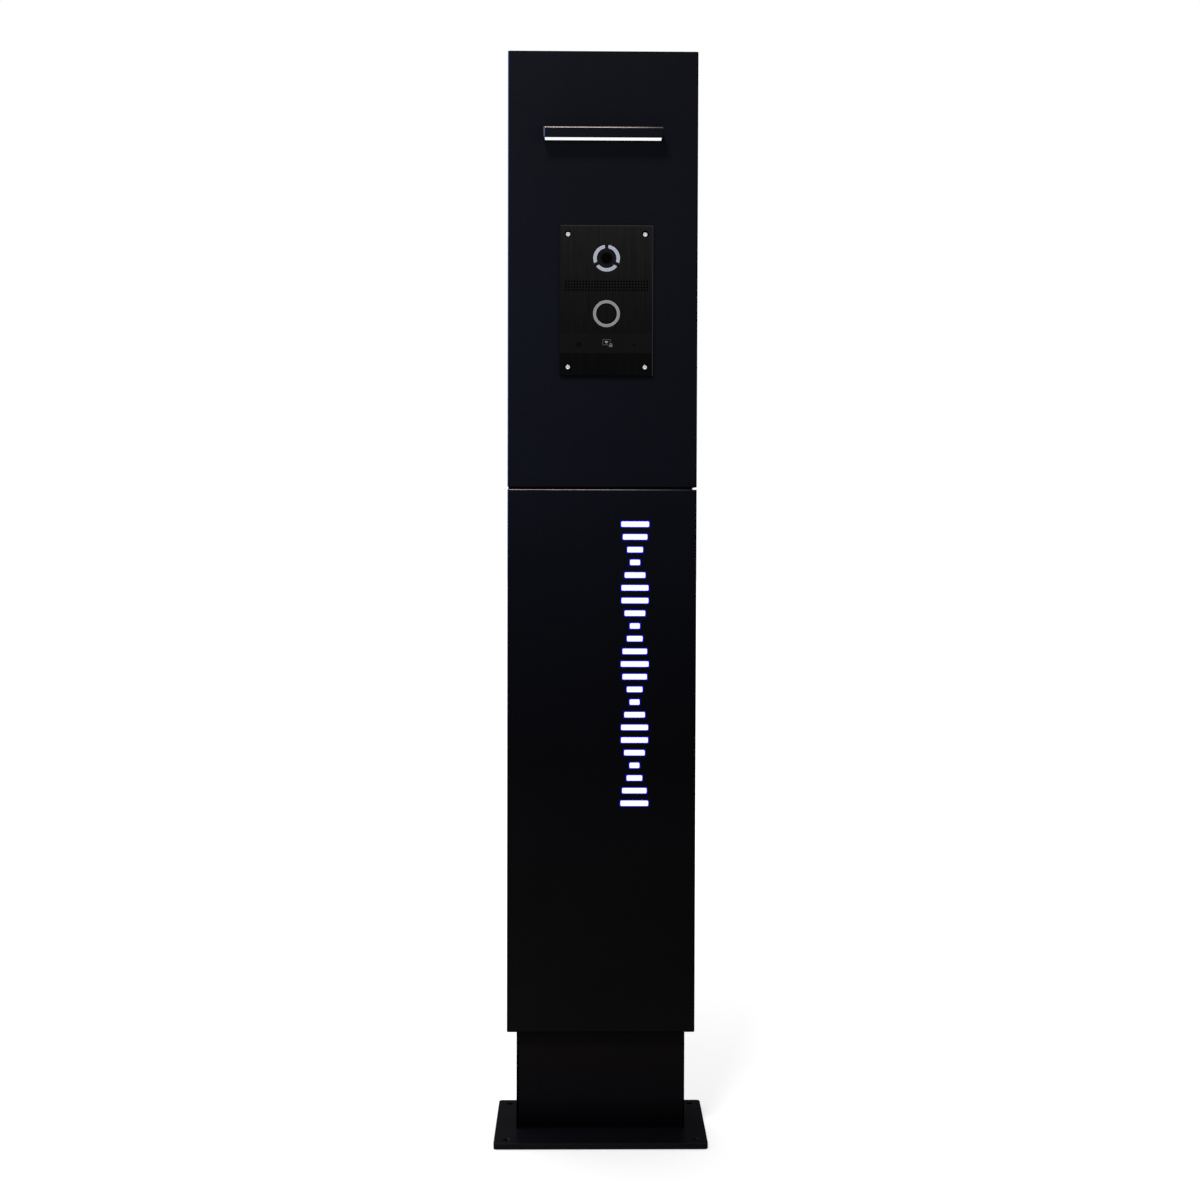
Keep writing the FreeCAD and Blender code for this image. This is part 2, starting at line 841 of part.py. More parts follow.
def face_plate_screws():
    """Countersunk heads whose cones are seated in the plate's countersinks."""
    slope = (face_screw_sink / 2 - face_screw_hole) / face_thickness
    top = face_front + (face_screw_sink - face_screw_head) / 2 / slope
    cone_height = (face_screw_head - face_screw) / 2 / slope
    return Part.makeCompound([
        Part.makeCone(
            face_screw_head / 2, face_screw / 2, cone_height, Vector(x, top, z), Vector(0, 1, 0)
        )
        for x, z in face_screw_places()
    ])


# Camera


def light_ring(inner, outer, z, front):
    """A flat ring that stands on its light board and reaches forward into the plate."""
    return turned(intercom_offset, z, [
        (inner, front), (outer, front), (outer, gasket_front), (inner, gasket_front)
    ])


def arcs(inner, outer, gap, front):
    """The ring round the camera in three arcs, parted at the top and at the lower sides."""
    partings = []
    for angle in (90, 210, 330):
        bar = block(0, 2 * outer, front, gasket_front, -gap / 2, gap / 2)
        bar.rotate(Vector(0, 0, 0), Vector(0, 1, 0), -angle)
        bar.translate(Vector(intercom_offset, 0, camera_z))
        partings.append(bar)
    return cut_all(light_ring(inner, outer, camera_z, front), partings)


def camera_light_arcs():
    return arcs(arc_inner, arc_outer, arc_gap, face_front + light_recess)


def camera_window():
    """Clear plug in the plate's round hole, seated on the light board."""
    return rod_y(window_radius, intercom_offset, face_front + window_recess, gasket_front, camera_z)


def camera_body():
    """Camera block behind its light board, stepped down to the sensor block."""
    size = camera_body_size
    step = light_board_back + camera_body_front
    front = panel(intercom_offset, camera_z, size, size, light_board_back, step)
    size = sensor_block_size
    return fused([front, panel(intercom_offset, camera_z, size, size, step, board_front)])


def camera_lens():
    """Front lens: a shallow dome on the camera block, inside the light board's opening."""
    rise = light_board_thickness - lens_gap
    sphere_radius = (lens_radius ** 2 + rise ** 2) / (2 * rise)
    centre = Vector(intercom_offset, light_board_back - rise + sphere_radius, camera_z)
    return Part.makeSphere(sphere_radius, centre).common(
        panel(intercom_offset, camera_z, camera_opening, camera_opening, gasket_front, light_board_back)
    )


def light_board(z, opening):
    size = light_board_size
    board = panel(intercom_offset, z, size, size, gasket_front, light_board_back)
    return board.cut(panel(intercom_offset, z, opening, opening, gasket_front, light_board_back))


# Loudspeaker


def speaker_mesh():
    return panel(
        intercom_offset, speaker_z, (speaker_columns - 1) * speaker_pitch + 2 * mesh_margin,
        (speaker_rows - 1) * speaker_pitch + 2 * mesh_margin, gasket_front, gasket_front + mesh_thickness,
    )


def speaker():
    """Loudspeaker: a frame with a dished front and a magnet against the main board."""
    front = gasket_front + mesh_thickness
    back = front + speaker_depth
    frame = panel(intercom_offset, speaker_z, speaker_length, speaker_height, front, back)
    dish = panel(
        intercom_offset, speaker_z, speaker_length - 2 * speaker_rim, speaker_height - 2 * speaker_rim,
        front, front + speaker_dish,
    )
    magnet = panel(intercom_offset, speaker_z, magnet_size, magnet_size, back, board_front)
    return fused([frame.cut(dish), magnet])


# Call button


def call_button_cap():
    """Round cap, a square rim behind the light ring that keeps it in, and a stem."""
    cap = rod_y(button_radius, intercom_offset, face_front, button_rim_front, button_z)
    rim = panel(intercom_offset, button_z, button_rim, button_rim, button_rim_front, button_rim_back)
    stem = panel(intercom_offset, button_z, button_stem, button_stem, button_rim_back, button_stem_end)
    return fused([cap, rim, stem])


def call_button_seal():
    """Silicone hat on the light board's back, with its floor between stem and switch."""
    inner = button_opening
    outer = inner + 2 * seal_thickness
    flange_back = light_board_back + seal_thickness
    flange = panel(intercom_offset, button_z, seal_size, seal_size, light_board_back, flange_back)
    hat = panel(intercom_offset, button_z, outer, outer, light_board_back, seal_back)
    hollow = panel(intercom_offset, button_z, inner, inner, light_board_back, button_stem_end)
    return fused([flange, hat]).cut(hollow)


def call_switch():
    front = seal_back + button_travel + running_clearance
    return panel(intercom_offset, button_z, switch_size, switch_size, front, board_front)


# Card reader band


def reader_strip():
    """Plastic strip across the plate, holed for the light sensor and the microphone."""
    strip = panel(
        intercom_offset, reader_z, face_width, reader_height - 2 * fit_clearance, face_front, strip_back
    )
    ends = edges_along(strip, Vector(0, 0, 1), lambda box: box.YMax < strip_back)
    sensor_x = intercom_offset - sensor_offset
    microphone_x = intercom_offset + sensor_offset
    return cut_all(strip.makeChamfer(face_chamfer, ends), [
        rod_y(sensor_radius + fit_clearance, sensor_x, face_front, strip_back, sensor_z),
        rod_y(microphone_radius, microphone_x, face_front, strip_back, sensor_z),
    ])


def reader_antenna():
    return panel(
        intercom_offset, reader_z, reader_opening_width - 2 * running_clearance,
        reader_opening_height - 2 * running_clearance, strip_back, strip_back + antenna_thickness,
    )


def light_sensor():
    x = intercom_offset - sensor_offset
    return rod_y(sensor_radius, x, face_front + fit_clearance, strip_back, sensor_z)


def microphone():
    x = intercom_offset + sensor_offset
    size = microphone_size
    return panel(x, sensor_z, size, size, face_front + microphone_recess, strip_back)


# Main board and what stands on it


def pillar_seats(y):
    half_x = board_width / 2 - pillar_inset
    half_z = board_height / 2 - pillar_inset
    return [Vector(intercom_offset + dx, y, intercom_z + dz) for dx, dz in four_ways(half_x, half_z)]


def intercom_board():
    """Main board with its processor, a shield can, a relay and a transformer."""
    board = unit_panel(board_width, board_height, board_front, board_back)
    parts = [
        panel(intercom_offset + x, intercom_z + z, width, height, board_back, board_back + rise)
        for x, z, width, height, rise in board_parts
    ]
    return fused([board] + parts)


def board_pillars():
    seats = pillar_seats(gasket_front)
    return Part.makeCompound([
        hexagon(pillar_size / 1.7, seat, Vector(0, 1, 0), board_depth) for seat in seats
    ])


def board_screws():
    return hexagon_heads(board_screw, pillar_seats(board_back), Vector(0, 1, 0))


def terminal_plug():
    return terminal_row(
        intercom_offset, intercom_z - board_height / 2 + terminal_plug_inset, terminal_plug_length,
        terminal_plug_height, terminal_plug_ways, board_back, board_back + terminal_plug_depth,
    )


def tamper_switch():
    back = board_back + tamper_height
    body = panel(tamper_x, tamper_z, tamper_size, tamper_size, board_back, back)
    plunger = tamper_plunger_size
    return fused([body, panel(tamper_x, tamper_z, plunger, plunger, back, back + tamper_plunger)])


pieces = {
    "base_plate": base_plate(),
    "plinth_tube": plinth_tube(),
    "saddle_bracket": saddle_bracket(),
    "earth_stud": earth_stud(),
    "lower_housing": lower_housing(),
    "lower_rear_cover": rear_cover(lower_bottom, lower_top),
    "lower_rear_screws": rear_screws(lower_top),
    "sign_diffuser": sign_diffuser(),
    "sign_tray": sign_tray(),
    "sign_tray_nuts": sign_tray_nuts(),
    "sign_led_strip": sign_led_strip(),
    "equipment_plate": equipment_plate(),
    "equipment_nuts": equipment_nuts(),
    "power_supply": power_supply(),
    "supply_terminals": supply_terminals(),
    "din_rail": din_rail(),
    "rail_terminals": rail_terminals(),
    "joint_spacer": joint_spacer(),
    "joint_bolts": joint_bolts(),
    "joint_nuts": joint_nuts(),
    "head_housing": head_housing(),
    "head_rear_cover": rear_cover(head_bottom, head_top),
    "head_rear_screws": rear_screws(head_top),
    "lamp_housing": lamp_housing(),
    "lamp_end_caps": lamp_end_caps(),
    "lamp_diffuser": lamp_diffuser(),
    "lamp_led_strip": lamp_led_strip(),
    "lamp_screws": lamp_screws(),
    "intercom_back_box": intercom_back_box(),
    "box_nuts": box_nuts(),
    "intercom_gasket": intercom_gasket(),
    "intercom_face_plate": intercom_face_plate(),
    "face_plate_screws": face_plate_screws(),
    "camera_light_arcs": camera_light_arcs(),
    "camera_window": camera_window(),
    "camera_body": camera_body(),
    "camera_lens": camera_lens(),
    "camera_light_board": light_board(camera_z, camera_opening),
    "speaker_mesh": speaker_mesh(),
    "speaker": speaker(),
    "call_button_ring": light_ring(ring_inner, ring_outer, button_z, face_front + light_recess),
    "call_button_cap": call_button_cap(),
    "button_light_board": light_board(button_z, button_opening),
    "call_button_seal": call_button_seal(),
    "call_switch": call_switch(),
    "reader_strip": reader_strip(),
    "reader_antenna": reader_antenna(),
    "light_sensor": light_sensor(),
    "microphone": microphone(),
    "intercom_board": intercom_board(),
    "board_pillars": board_pillars(),
    "board_screws": board_screws(),
    "terminal_plug": terminal_plug(),
    "tamper_switch": tamper_switch(),
}

os.makedirs("parts", exist_ok=True)
for name, shape in pieces.items():
    shape.exportStep(os.path.join("parts", name + ".step"))
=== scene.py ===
import json
import math
import bpy
from mathutils import Matrix, Vector


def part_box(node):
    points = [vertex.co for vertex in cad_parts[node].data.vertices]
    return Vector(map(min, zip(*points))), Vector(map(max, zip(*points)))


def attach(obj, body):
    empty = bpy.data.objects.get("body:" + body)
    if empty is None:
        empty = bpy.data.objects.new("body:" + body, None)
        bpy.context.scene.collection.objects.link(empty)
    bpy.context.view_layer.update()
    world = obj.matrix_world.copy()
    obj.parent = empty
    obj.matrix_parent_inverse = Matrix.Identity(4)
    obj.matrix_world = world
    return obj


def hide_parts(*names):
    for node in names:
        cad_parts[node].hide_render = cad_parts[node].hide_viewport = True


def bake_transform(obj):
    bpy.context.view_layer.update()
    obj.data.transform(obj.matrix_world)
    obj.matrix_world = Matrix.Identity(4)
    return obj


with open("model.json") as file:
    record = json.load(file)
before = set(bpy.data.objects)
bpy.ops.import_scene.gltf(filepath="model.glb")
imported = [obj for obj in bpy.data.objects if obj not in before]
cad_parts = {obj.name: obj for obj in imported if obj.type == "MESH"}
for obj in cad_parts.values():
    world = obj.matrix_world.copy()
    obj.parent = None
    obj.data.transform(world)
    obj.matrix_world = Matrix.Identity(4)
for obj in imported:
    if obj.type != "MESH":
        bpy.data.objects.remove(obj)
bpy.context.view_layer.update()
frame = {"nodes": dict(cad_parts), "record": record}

# Gate intercom post: finishes, fine pieces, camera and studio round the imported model.
# Lengths in metres, and in the dictionaries whose names end in Work in millimetres.
# +Z is up and the front faces -Y.

mm = 0.001
weld = 0.002 * mm              # points nearer than this are one point
inLine = 0.02 * mm             # points no further apart than this lie in one line
past = 1 * mm                  # how far a cutter reaches past what it cuts
crease = 35                    # degrees, edges sharper than this stay edges
slotOf = {part["node"]: part["material_slot"] for part in frame["record"]["subparts"]}


# Working helpers

def deselectAll():
    if bpy.context.mode != "OBJECT":
        bpy.ops.object.mode_set(mode="OBJECT")
    bpy.ops.object.select_all(action="DESELECT")


def pick(piece):
    deselectAll()
    piece.select_set(True)
    bpy.context.view_layer.objects.active = piece


def sizeOf(node):
    low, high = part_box(node)
    return low, high, (low + high) / 2


def named(name):
    piece = bpy.context.object
    piece.name = name
    piece.data.name = name
    return piece


def settle(piece):
    pick(piece)
    bpy.ops.object.transform_apply(location=True, rotation=True, scale=True)
    return piece


def openMesh(piece, mode="FACE"):
    pick(piece)
    bpy.ops.object.mode_set(mode="EDIT")
    bpy.ops.mesh.select_mode(type=mode)


def closeMesh():
    bpy.ops.object.mode_set(mode="OBJECT")


def selectFaces(piece, wanted):
    openMesh(piece)
    bpy.ops.mesh.select_all(action="DESELECT")
    closeMesh()
    for face in piece.data.polygons:
        face.select = wanted(face)
    bpy.ops.object.mode_set(mode="EDIT")


def looksForward(face):
    return face.normal.y < -0.5


def selectEdges(piece, wanted):
    openMesh(piece, "EDGE")
    bpy.ops.mesh.select_all(action="DESELECT")
    closeMesh()
    points = piece.data.vertices
    for edge in piece.data.edges:
        edge.select = wanted(*[points[i].co for i in edge.vertices])
    bpy.ops.object.mode_set(mode="EDIT")


def outwards(piece):
    openMesh(piece)
    bpy.ops.mesh.select_all(action="SELECT")
    bpy.ops.mesh.remove_doubles(threshold=weld)
    bpy.ops.mesh.normals_make_consistent(inside=False)
    closeMesh()


def block(name, low, high):
    low, high = Vector(low), Vector(high)
    deselectAll()
    bpy.ops.mesh.primitive_cube_add(size=1, location=(low + high) / 2, scale=high - low)
    return settle(named(name))


def roundedBlock(name, low, high, radius, segments=5):
    piece = block(name, low, high)
    selectEdges(piece, lambda a, b: abs(a.x - b.x) + abs(a.z - b.z) < inLine)
    bpy.ops.mesh.bevel(offset=radius, segments=segments, affect="EDGES")
    closeMesh()
    return piece


def disc(name, radius, front, back, x, z, sides=64):
    deselectAll()
    bpy.ops.mesh.primitive_cylinder_add(
        vertices=sides, radius=radius, depth=back - front,
        location=(x, (front + back) / 2, z), rotation=(math.pi / 2, 0, 0),
    )
    return settle(named(name))


def cone(name, frontRadius, backRadius, front, back, x, z, sides=48):
    deselectAll()
    bpy.ops.mesh.primitive_cone_add(
        vertices=sides, radius1=backRadius, radius2=frontRadius, depth=back - front,
        location=(x, (front + back) / 2, z), rotation=(math.pi / 2, 0, 0),
    )
    return settle(named(name))


def ring(name, inner, outer, front, back, x, z, steps=120):
    deselectAll()
    bpy.ops.mesh.primitive_plane_add(size=1, location=(x + (inner + outer) / 2, (front + back) / 2, z))
    piece = named(name)
    piece.scale = (outer - inner, back - front, 1)
    settle(piece)
    openMesh(piece, "EDGE")
    bpy.ops.mesh.select_all(action="SELECT")
    bpy.ops.mesh.delete(type="ONLY_FACE")
    bpy.ops.mesh.select_all(action="SELECT")
    bpy.ops.mesh.spin(steps=steps, angle=2 * math.pi, center=(x, 0, z), axis=(0, 1, 0))
    outwards(piece)
    return piece


def applied(piece, kind, **settings):
    pick(piece)
    modifier = piece.modifiers.new(kind.lower(), kind)
    for key, value in settings.items():
        setattr(modifier, key, value)
    bpy.ops.object.modifier_apply(modifier=modifier.name)


def cutBy(piece, cutter):
    applied(piece, "BOOLEAN", operation="DIFFERENCE", solver="EXACT", object=cutter)
    bpy.data.objects.remove(cutter)


def joined(name, pieces):
    deselectAll()
    for piece in pieces:
        piece.select_set(True)
    bpy.context.view_layer.objects.active = pieces[0]
    bpy.ops.object.join()
    return named(name)


def smoothed(piece, angle=crease):
    pick(piece)
    bpy.ops.object.shade_smooth_by_angle(angle=math.radians(angle))
    applied(piece, "WEIGHTED_NORMAL", keep_sharp=True, weight=80)


def softEdges(piece, width, segments=2):
    applied(
        piece, "BEVEL", width=width, segments=segments, limit_method="ANGLE",
        angle_limit=math.radians(crease), miter_outer="MITER_ARC",
    )
    smoothed(piece)


def mergedCopy(node, name, flatWithin=0.5):
    deselectAll()
    piece = bpy.data.objects.new(name, frame["nodes"][node].data.copy())
    bpy.context.collection.objects.link(piece)
    openMesh(piece)
    bpy.ops.mesh.customdata_custom_splitnormals_clear()
    bpy.ops.mesh.select_all(action="SELECT")
    bpy.ops.mesh.remove_doubles(threshold=weld)
    bpy.ops.mesh.dissolve_limited(angle_limit=math.radians(flatWithin))
    closeMesh()
    return piece


def dress(piece, *looks):
    piece.data.materials.clear()
    for look in looks:
        piece.data.materials.append(finishes[look])
    return piece


def finished(piece, body, slot, *nodes):
    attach(piece, body)
    if nodes:
        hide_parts(*nodes)


# Camera at the photograph's place, found from the post's own corners

viewpoint = {
    "place": (-0.02007, -1.9286, 0.6699),
    "yaw": 0.0133,             # radians, to the right
    "pitch": 0.0294,           # downwards
    "roll": 0.0028,
    "focalLength": 1793.0,     # pixels on the 1200 pixel frame
    "framePixels": 1200,
    "centrePixel": (606.8, 562.2),
    "sensor": 36.0,            # mm
    "nearest": 0.05,
    "furthest": 100.0,
}


def placeCamera():
    v = viewpoint
    yaw, pitch, roll = v["yaw"], v["pitch"], v["roll"]
    level = Vector((math.sin(yaw), math.cos(yaw), 0))
    forward = math.cos(pitch) * level - math.sin(pitch) * Vector((0, 0, 1))
    right = Vector((math.cos(yaw), -math.sin(yaw), 0))
    up = right.cross(forward)
    rolledRight = math.cos(roll) * right + math.sin(roll) * up
    rolledUp = math.cos(roll) * up - math.sin(roll) * right
    turn = Matrix((rolledRight, rolledUp, -forward)).transposed()
    deselectAll()
    bpy.ops.object.camera_add()
    camera = bpy.context.object
    camera.matrix_world = Matrix.Translation(v["place"]) @ turn.to_4x4()
    lens = camera.data
    lens.sensor_width = v["sensor"]
    lens.lens = v["focalLength"] / v["framePixels"] * v["sensor"]
    lens.shift_x = 0.5 - v["centrePixel"][0] / v["framePixels"]
    lens.shift_y = v["centrePixel"][1] / v["framePixels"] - 0.5
    lens.clip_start = v["nearest"]
    lens.clip_end = v["furthest"]
    bpy.context.scene.camera = camera


placeCamera()
print("camera placed")


# Finishes: one node material for each slot of the record, and a few for parts of a piece

def newFinish(name):
    material = bpy.data.materials.new(name)
    material.use_nodes = True
    tree = material.node_tree
    return material, tree, tree.nodes["Principled BSDF"]


def plain(shader, **values):
    for key, value in values.items():
        shader.inputs[key].default_value = value


def link(tree, value, shader, socket):
    tree.links.new(value, shader.inputs[socket])


def addNode(tree, kind, inputs, **settings):
    made = tree.nodes.new(kind)
    for key, value in settings.items():
        setattr(made, key, value)
    for key, value in inputs.items():
        if isinstance(value, bpy.types.NodeSocket):
            tree.links.new(value, made.inputs[key])
        else:
            made.inputs[key].default_value = value
    return made


def objectPlace(tree, scale=(1, 1, 1), centre=(0, 0, 0)):
    place = addNode(tree, "ShaderNodeTexCoord", {}).outputs["Object"]
    moved = [-c * s for c, s in zip(centre, scale)]
    return addNode(tree, "ShaderNodeMapping", {
        "Vector": place, "Scale": scale, "Location": moved
    }).outputs["Vector"]


def noise(tree, place, scale, detail=3.0, roughness=0.5):
    return addNode(tree, "ShaderNodeTexNoise", {
        "Vector": place, "Scale": scale, "Detail": detail, "Roughness": roughness
    }).outputs["Fac"]


def spread(tree, value, low, high, fromLow=0.3, fromHigh=0.7):
    return addNode(tree, "ShaderNodeMapRange", {
        "Value": value, "From Min": fromLow, "From Max": fromHigh, "To Min": low, "To Max": high
    }).outputs["Result"]


def around(tree, value, middle, swing):
    return spread(tree, value, middle - swing, middle + swing)


def sums(tree, operation, *values):
    return addNode(tree, "ShaderNodeMath", dict(enumerate(values)), operation=operation).outputs[0]


def ramp(tree, value, stops):
    made = addNode(tree, "ShaderNodeValToRGB", {"Fac": value})
    points = made.color_ramp.elements
    while len(points) < len(stops):
        points.new(0.5)
    for point, (place, colour) in zip(points, stops):
        point.position = place
        point.color = (*colour, 1)
    return made.outputs["Color"]


def scaled(tree, colour, *factors):
    for factor in factors:
        colour = addNode(
            tree, "ShaderNodeVectorMath", {0: colour, 1: factor}, operation="MULTIPLY"
        ).outputs["Vector"]
    return colour


def grey(level):
    return level, level, level


def evenly(colour):
    return (0.0, colour), (1.0, colour)


def flat(tree, colour):
    return addNode(tree, "ShaderNodeCombineXYZ", dict(enumerate(colour))).outputs[0]


def relief(tree, shader, height, strength, depth):
    bump = addNode(tree, "ShaderNodeBump", {"Height": height, "Strength": strength, "Distance": depth * mm})
    link(tree, bump.outputs["Normal"], shader, "Normal")


def radiusFrom(tree, node):
    centre = sizeOf(node)[2]
    across = objectPlace(tree, (1, 0, 1), (centre.x, 0, centre.z))
    return addNode(tree, "ShaderNodeVectorMath", {0: across}, operation="LENGTH").outputs["Value"]


coat = {
    "tones": (                 # base colour at shares of the post's height, painted light and shade: lighter and bluer towards the head, darker low on the lower housing and darkest at the plinth's foot
        (0.0060, (0.0062, 0.0056, 0.0066)),
        (0.0075, (0.0006, 0.0006, 0.0010)),
        (0.018, (0.0012, 0.0012, 0.0019)),
        (0.036, (0.0036, 0.0031, 0.0040)),
        (0.072, (0.0043, 0.0036, 0.0039)),
        (0.13, (0.0036, 0.0031, 0.0031)),
        (0.35, (0.0019, 0.0019, 0.0027)),
        (0.48, (0.0024, 0.0026, 0.0042)),
        (0.53, (0.0030, 0.0032, 0.0053)),
        (0.62, (0.0044, 0.0050, 0.0083)),
        (0.77, (0.0052, 0.0060, 0.0094)),
        (0.95, (0.0056, 0.0059, 0.0088)),
        (1.0, (0.0062, 0.0065, 0.0092)),
    ),
    "across": (1.14, 0.86),    # painted side light: brighter on the left side than on the right side
    "speckleScale": 900.0,
    "speckle": 0.14,
    "cloudScale": 9.0,
    "cloud": 0.06,
    "peelScale": 1500.0,
    "peel": (0.35, 0.02),      # strength, and depth in mm
    "wearScale": 14.0,
    "roughness": (0.50, 0.62),
    "specular": 0.01,
}
coatParts = {                  # the same coat with painted light: highlights and shade on folds, edges and the lamp's left cap, on the base plate's top and rims
    # painted highlight on the left fold: bluish, strongest on the head, black towards the foot
    "paintedFoldHighlight": {
        "tones": (
            (0.0, (0.0008, 0.0007, 0.0009)),
            (0.40, (0.0006, 0.0014, 0.0080)),
            (0.53, (0.0018, 0.0090, 0.0380)),
            (0.65, (0.0190, 0.0360, 0.1150)),
            (0.90, (0.0420, 0.0720, 0.1850)),
        ),
        "roughness": (0.30, 0.38),
        "specular": 0.05,
    },
    # painted shade on the right fold, beside the left fold's highlight and on lower edges
    "coatShade": {"brightness": 0.12, "roughness": (0.55, 0.65), "specular": 0.0},
    # the base plate's top, darker than the coat at its height: painted shade, and painted side light
    # brighter on the left
    "coatTop": {
        "tones": evenly((0.0038, 0.0037, 0.0052)),
        "across": (1.4, 0.75),
        "roughness": (0.28, 0.42),
        "specular": 0.001,
    },
    # painted highlight along the base plate's front rim, brighter on the left
    "paintedRimHighlight": {
        "tones": evenly((0.0290, 0.0240, 0.0285)),
        "across": (1.4, 0.75),
        "roughness": (0.28, 0.42),
        "specular": 0.001,
    },
    # painted highlight, bluish, on the front of the lamp's left end cap
    "paintedCapHighlight": {
        "tones": evenly((0.07, 0.10, 0.19)),
        "roughness": (0.35, 0.45),
        "specular": 0.02,
    },
}


def powderCoat(name, tones=coat["tones"], across=coat["across"], brightness=1.0,
               roughness=coat["roughness"], specular=coat["specular"]):
    material, tree, shader = newFinish(name)
    low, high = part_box("head_housing")
    place = objectPlace(tree)
    parts = addNode(tree, "ShaderNodeSeparateXYZ", {"Vector": place})
    # the tones by height and the sideways factor are painted light and shade
    tone = ramp(tree, sums(tree, "DIVIDE", parts.outputs["Z"], high.z), tones)
    sideways = spread(tree, parts.outputs["X"], *across, low.x, high.x)
    speckle = around(
        tree, noise(tree, place, coat["speckleScale"]), brightness, coat["speckle"] * brightness
    )
    cloud = around(tree, noise(tree, place, coat["cloudScale"]), 1.0, coat["cloud"])
    link(tree, scaled(tree, tone, sideways, speckle, cloud), shader, "Base Color")
    wear = noise(tree, place, coat["wearScale"])
    link(tree, spread(tree, wear, *roughness), shader, "Roughness")
    peel = noise(tree, place, coat["peelScale"], detail=2.0, roughness=0.6)
    relief(tree, shader, peel, *coat["peel"])
    plain(shader, **{"Specular IOR Level": specular})
    return material


glintLook = {
    "grainScale": 1500.0,
    "grain": 0.1,
    "wearScale": 60.0,
    "roughness": (0.42, 0.50),
}


# painted highlight: a metallic edge whose colour fades from bright on the left to dull on the right
def glint(name, colour, brightTo, dullFrom, dull):    # places in mm from the middle of the post
    g = glintLook
    material, tree, shader = newFinish(name)
    place = objectPlace(tree)
    across = addNode(tree, "ShaderNodeSeparateXYZ", {"Vector": place}).outputs["X"]
    highlightFade = spread(tree, across, 1.0, dull, brightTo * mm, dullFrom * mm)
    grain = around(tree, noise(tree, place, g["grainScale"]), 1.0, g["grain"])
    link(tree, scaled(tree, flat(tree, colour), highlightFade, grain), shader, "Base Color")
    link(tree, spread(tree, noise(tree, place, g["wearScale"]), *g["roughness"]), shader, "Roughness")
    plain(shader, Metallic=1.0)
    return material


brushing = {
    # grey at shares of the plate's height: painted light, lighter towards the top
    "tones": ((0.0, 0.0024), (0.22, 0.0028), (0.25, 0.0043), (0.6, 0.0066), (1.0, 0.0104)),
    "fineScale": 2600.0,
    "fine": 0.32,
    "broadScale": 750.0,
    "broad": 0.2,
    "stretch": 0.012,
    "relief": (0.3, 0.01),     # strength, and depth in mm
    "roughness": (0.34, 0.46),
    "specular": 0.01,
}


def brushedAnodised():
    b = brushing
    material, tree, shader = newFinish("blackAnodisedPlate")
    low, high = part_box("intercom_face_plate")
    grain = objectPlace(tree, (1, 1, b["stretch"]))
    height = addNode(tree, "ShaderNodeSeparateXYZ", {"Vector": objectPlace(tree)}).outputs["Z"]
    share = spread(tree, height, 0, 1, low.z, high.z)
    tone = ramp(tree, share, [(at, grey(level)) for at, level in b["tones"]])
    fine = noise(tree, grain, b["fineScale"], roughness=0.7)
    broad = noise(tree, grain, b["broadScale"], detail=2.0)
    tone = scaled(tree, tone, around(tree, fine, 1.0, b["fine"]), around(tree, broad, 1.0, b["broad"]))
    link(tree, tone, shader, "Base Color")
    link(tree, spread(tree, fine, *b["roughness"]), shader, "Roughness")
    relief(tree, shader, fine, *b["relief"])
    plain(shader, **{"Specular IOR Level": b["specular"]})
    return material


metalLook = {
    "grainScale": 1800.0,
    "grain": 0.12,
    "spangleTones": (0.78, 1.12),
    "wearScale": 60.0,
    "wear": 0.06,
    "relief": (0.25, 0.01),    # strength, and depth in mm
}


def metal(name, colour, roughness, spangle=0.0, stretch=1.0, metallic=1.0):
    m = metalLook
    material, tree, shader = newFinish(name)
    place = objectPlace(tree, (1, 1, stretch))
    grain = noise(tree, place, m["grainScale"], roughness=0.6)
    tone = scaled(tree, flat(tree, colour), around(tree, grain, 1.0, m["grain"]))
    if spangle:
        cells = addNode(tree, "ShaderNodeTexVoronoi", {"Vector": place, "Scale": spangle}).outputs["Color"]
        tone = scaled(tree, tone, spread(tree, cells, *m["spangleTones"], 0.0, 1.0))
    link(tree, tone, shader, "Base Color")
    wear = noise(tree, place, m["wearScale"])
    link(tree, around(tree, wear, roughness, m["wear"]), shader, "Roughness")
    relief(tree, shader, grain, *m["relief"])
    plain(shader, Metallic=metallic)
    return material


mouldedLook = {
    "toneScale": 40.0,
    "tone": 0.08,
    "wear": 0.04,
    "strength": 0.3,
}


def moulded(name, colour, roughness, grainScale=2600.0, depth=0.015, specular=0.3):
    m = mouldedLook
    material, tree, shader = newFinish(name)
    place = objectPlace(tree)
    grain = noise(tree, place, grainScale, detail=2.0, roughness=0.6)
    shading = around(tree, noise(tree, place, m["toneScale"]), 1.0, m["tone"])
    link(tree, scaled(tree, flat(tree, colour), shading), shader, "Base Color")
    link(tree, around(tree, grain, roughness, m["wear"]), shader, "Roughness")
    relief(tree, shader, grain, m["strength"], depth)
    plain(shader, **{"Specular IOR Level": specular})
    return material


guideWork = {
    "arcs": {"inner": 9.9, "outer": 14.7, "gap": 3.2, "outerShrink": 0.75},
    "ring": {"inner": 10.4, "outer": 14.6},
    "partings": (90, 210, 330),    # degrees, where one arc ends and the next begins
    "outline": 0.45,           # gap between a guide's place and the plate
    "shrink": 0.5,             # the moulding is this much smaller all round
    "corner": 0.8,
    "edge": 0.25,
    "line": (0.25, 0.7),       # from the middle radius, between which its darker line fades out
    "lineTone": 0.84,
    "milkScale": 700.0,
    "milk": 0.04,
    "roughness": (0.30, 0.40),
    "specular": 0.2,
    "scatter": (0.15, 0.6),    # weight, and depth in mm
}


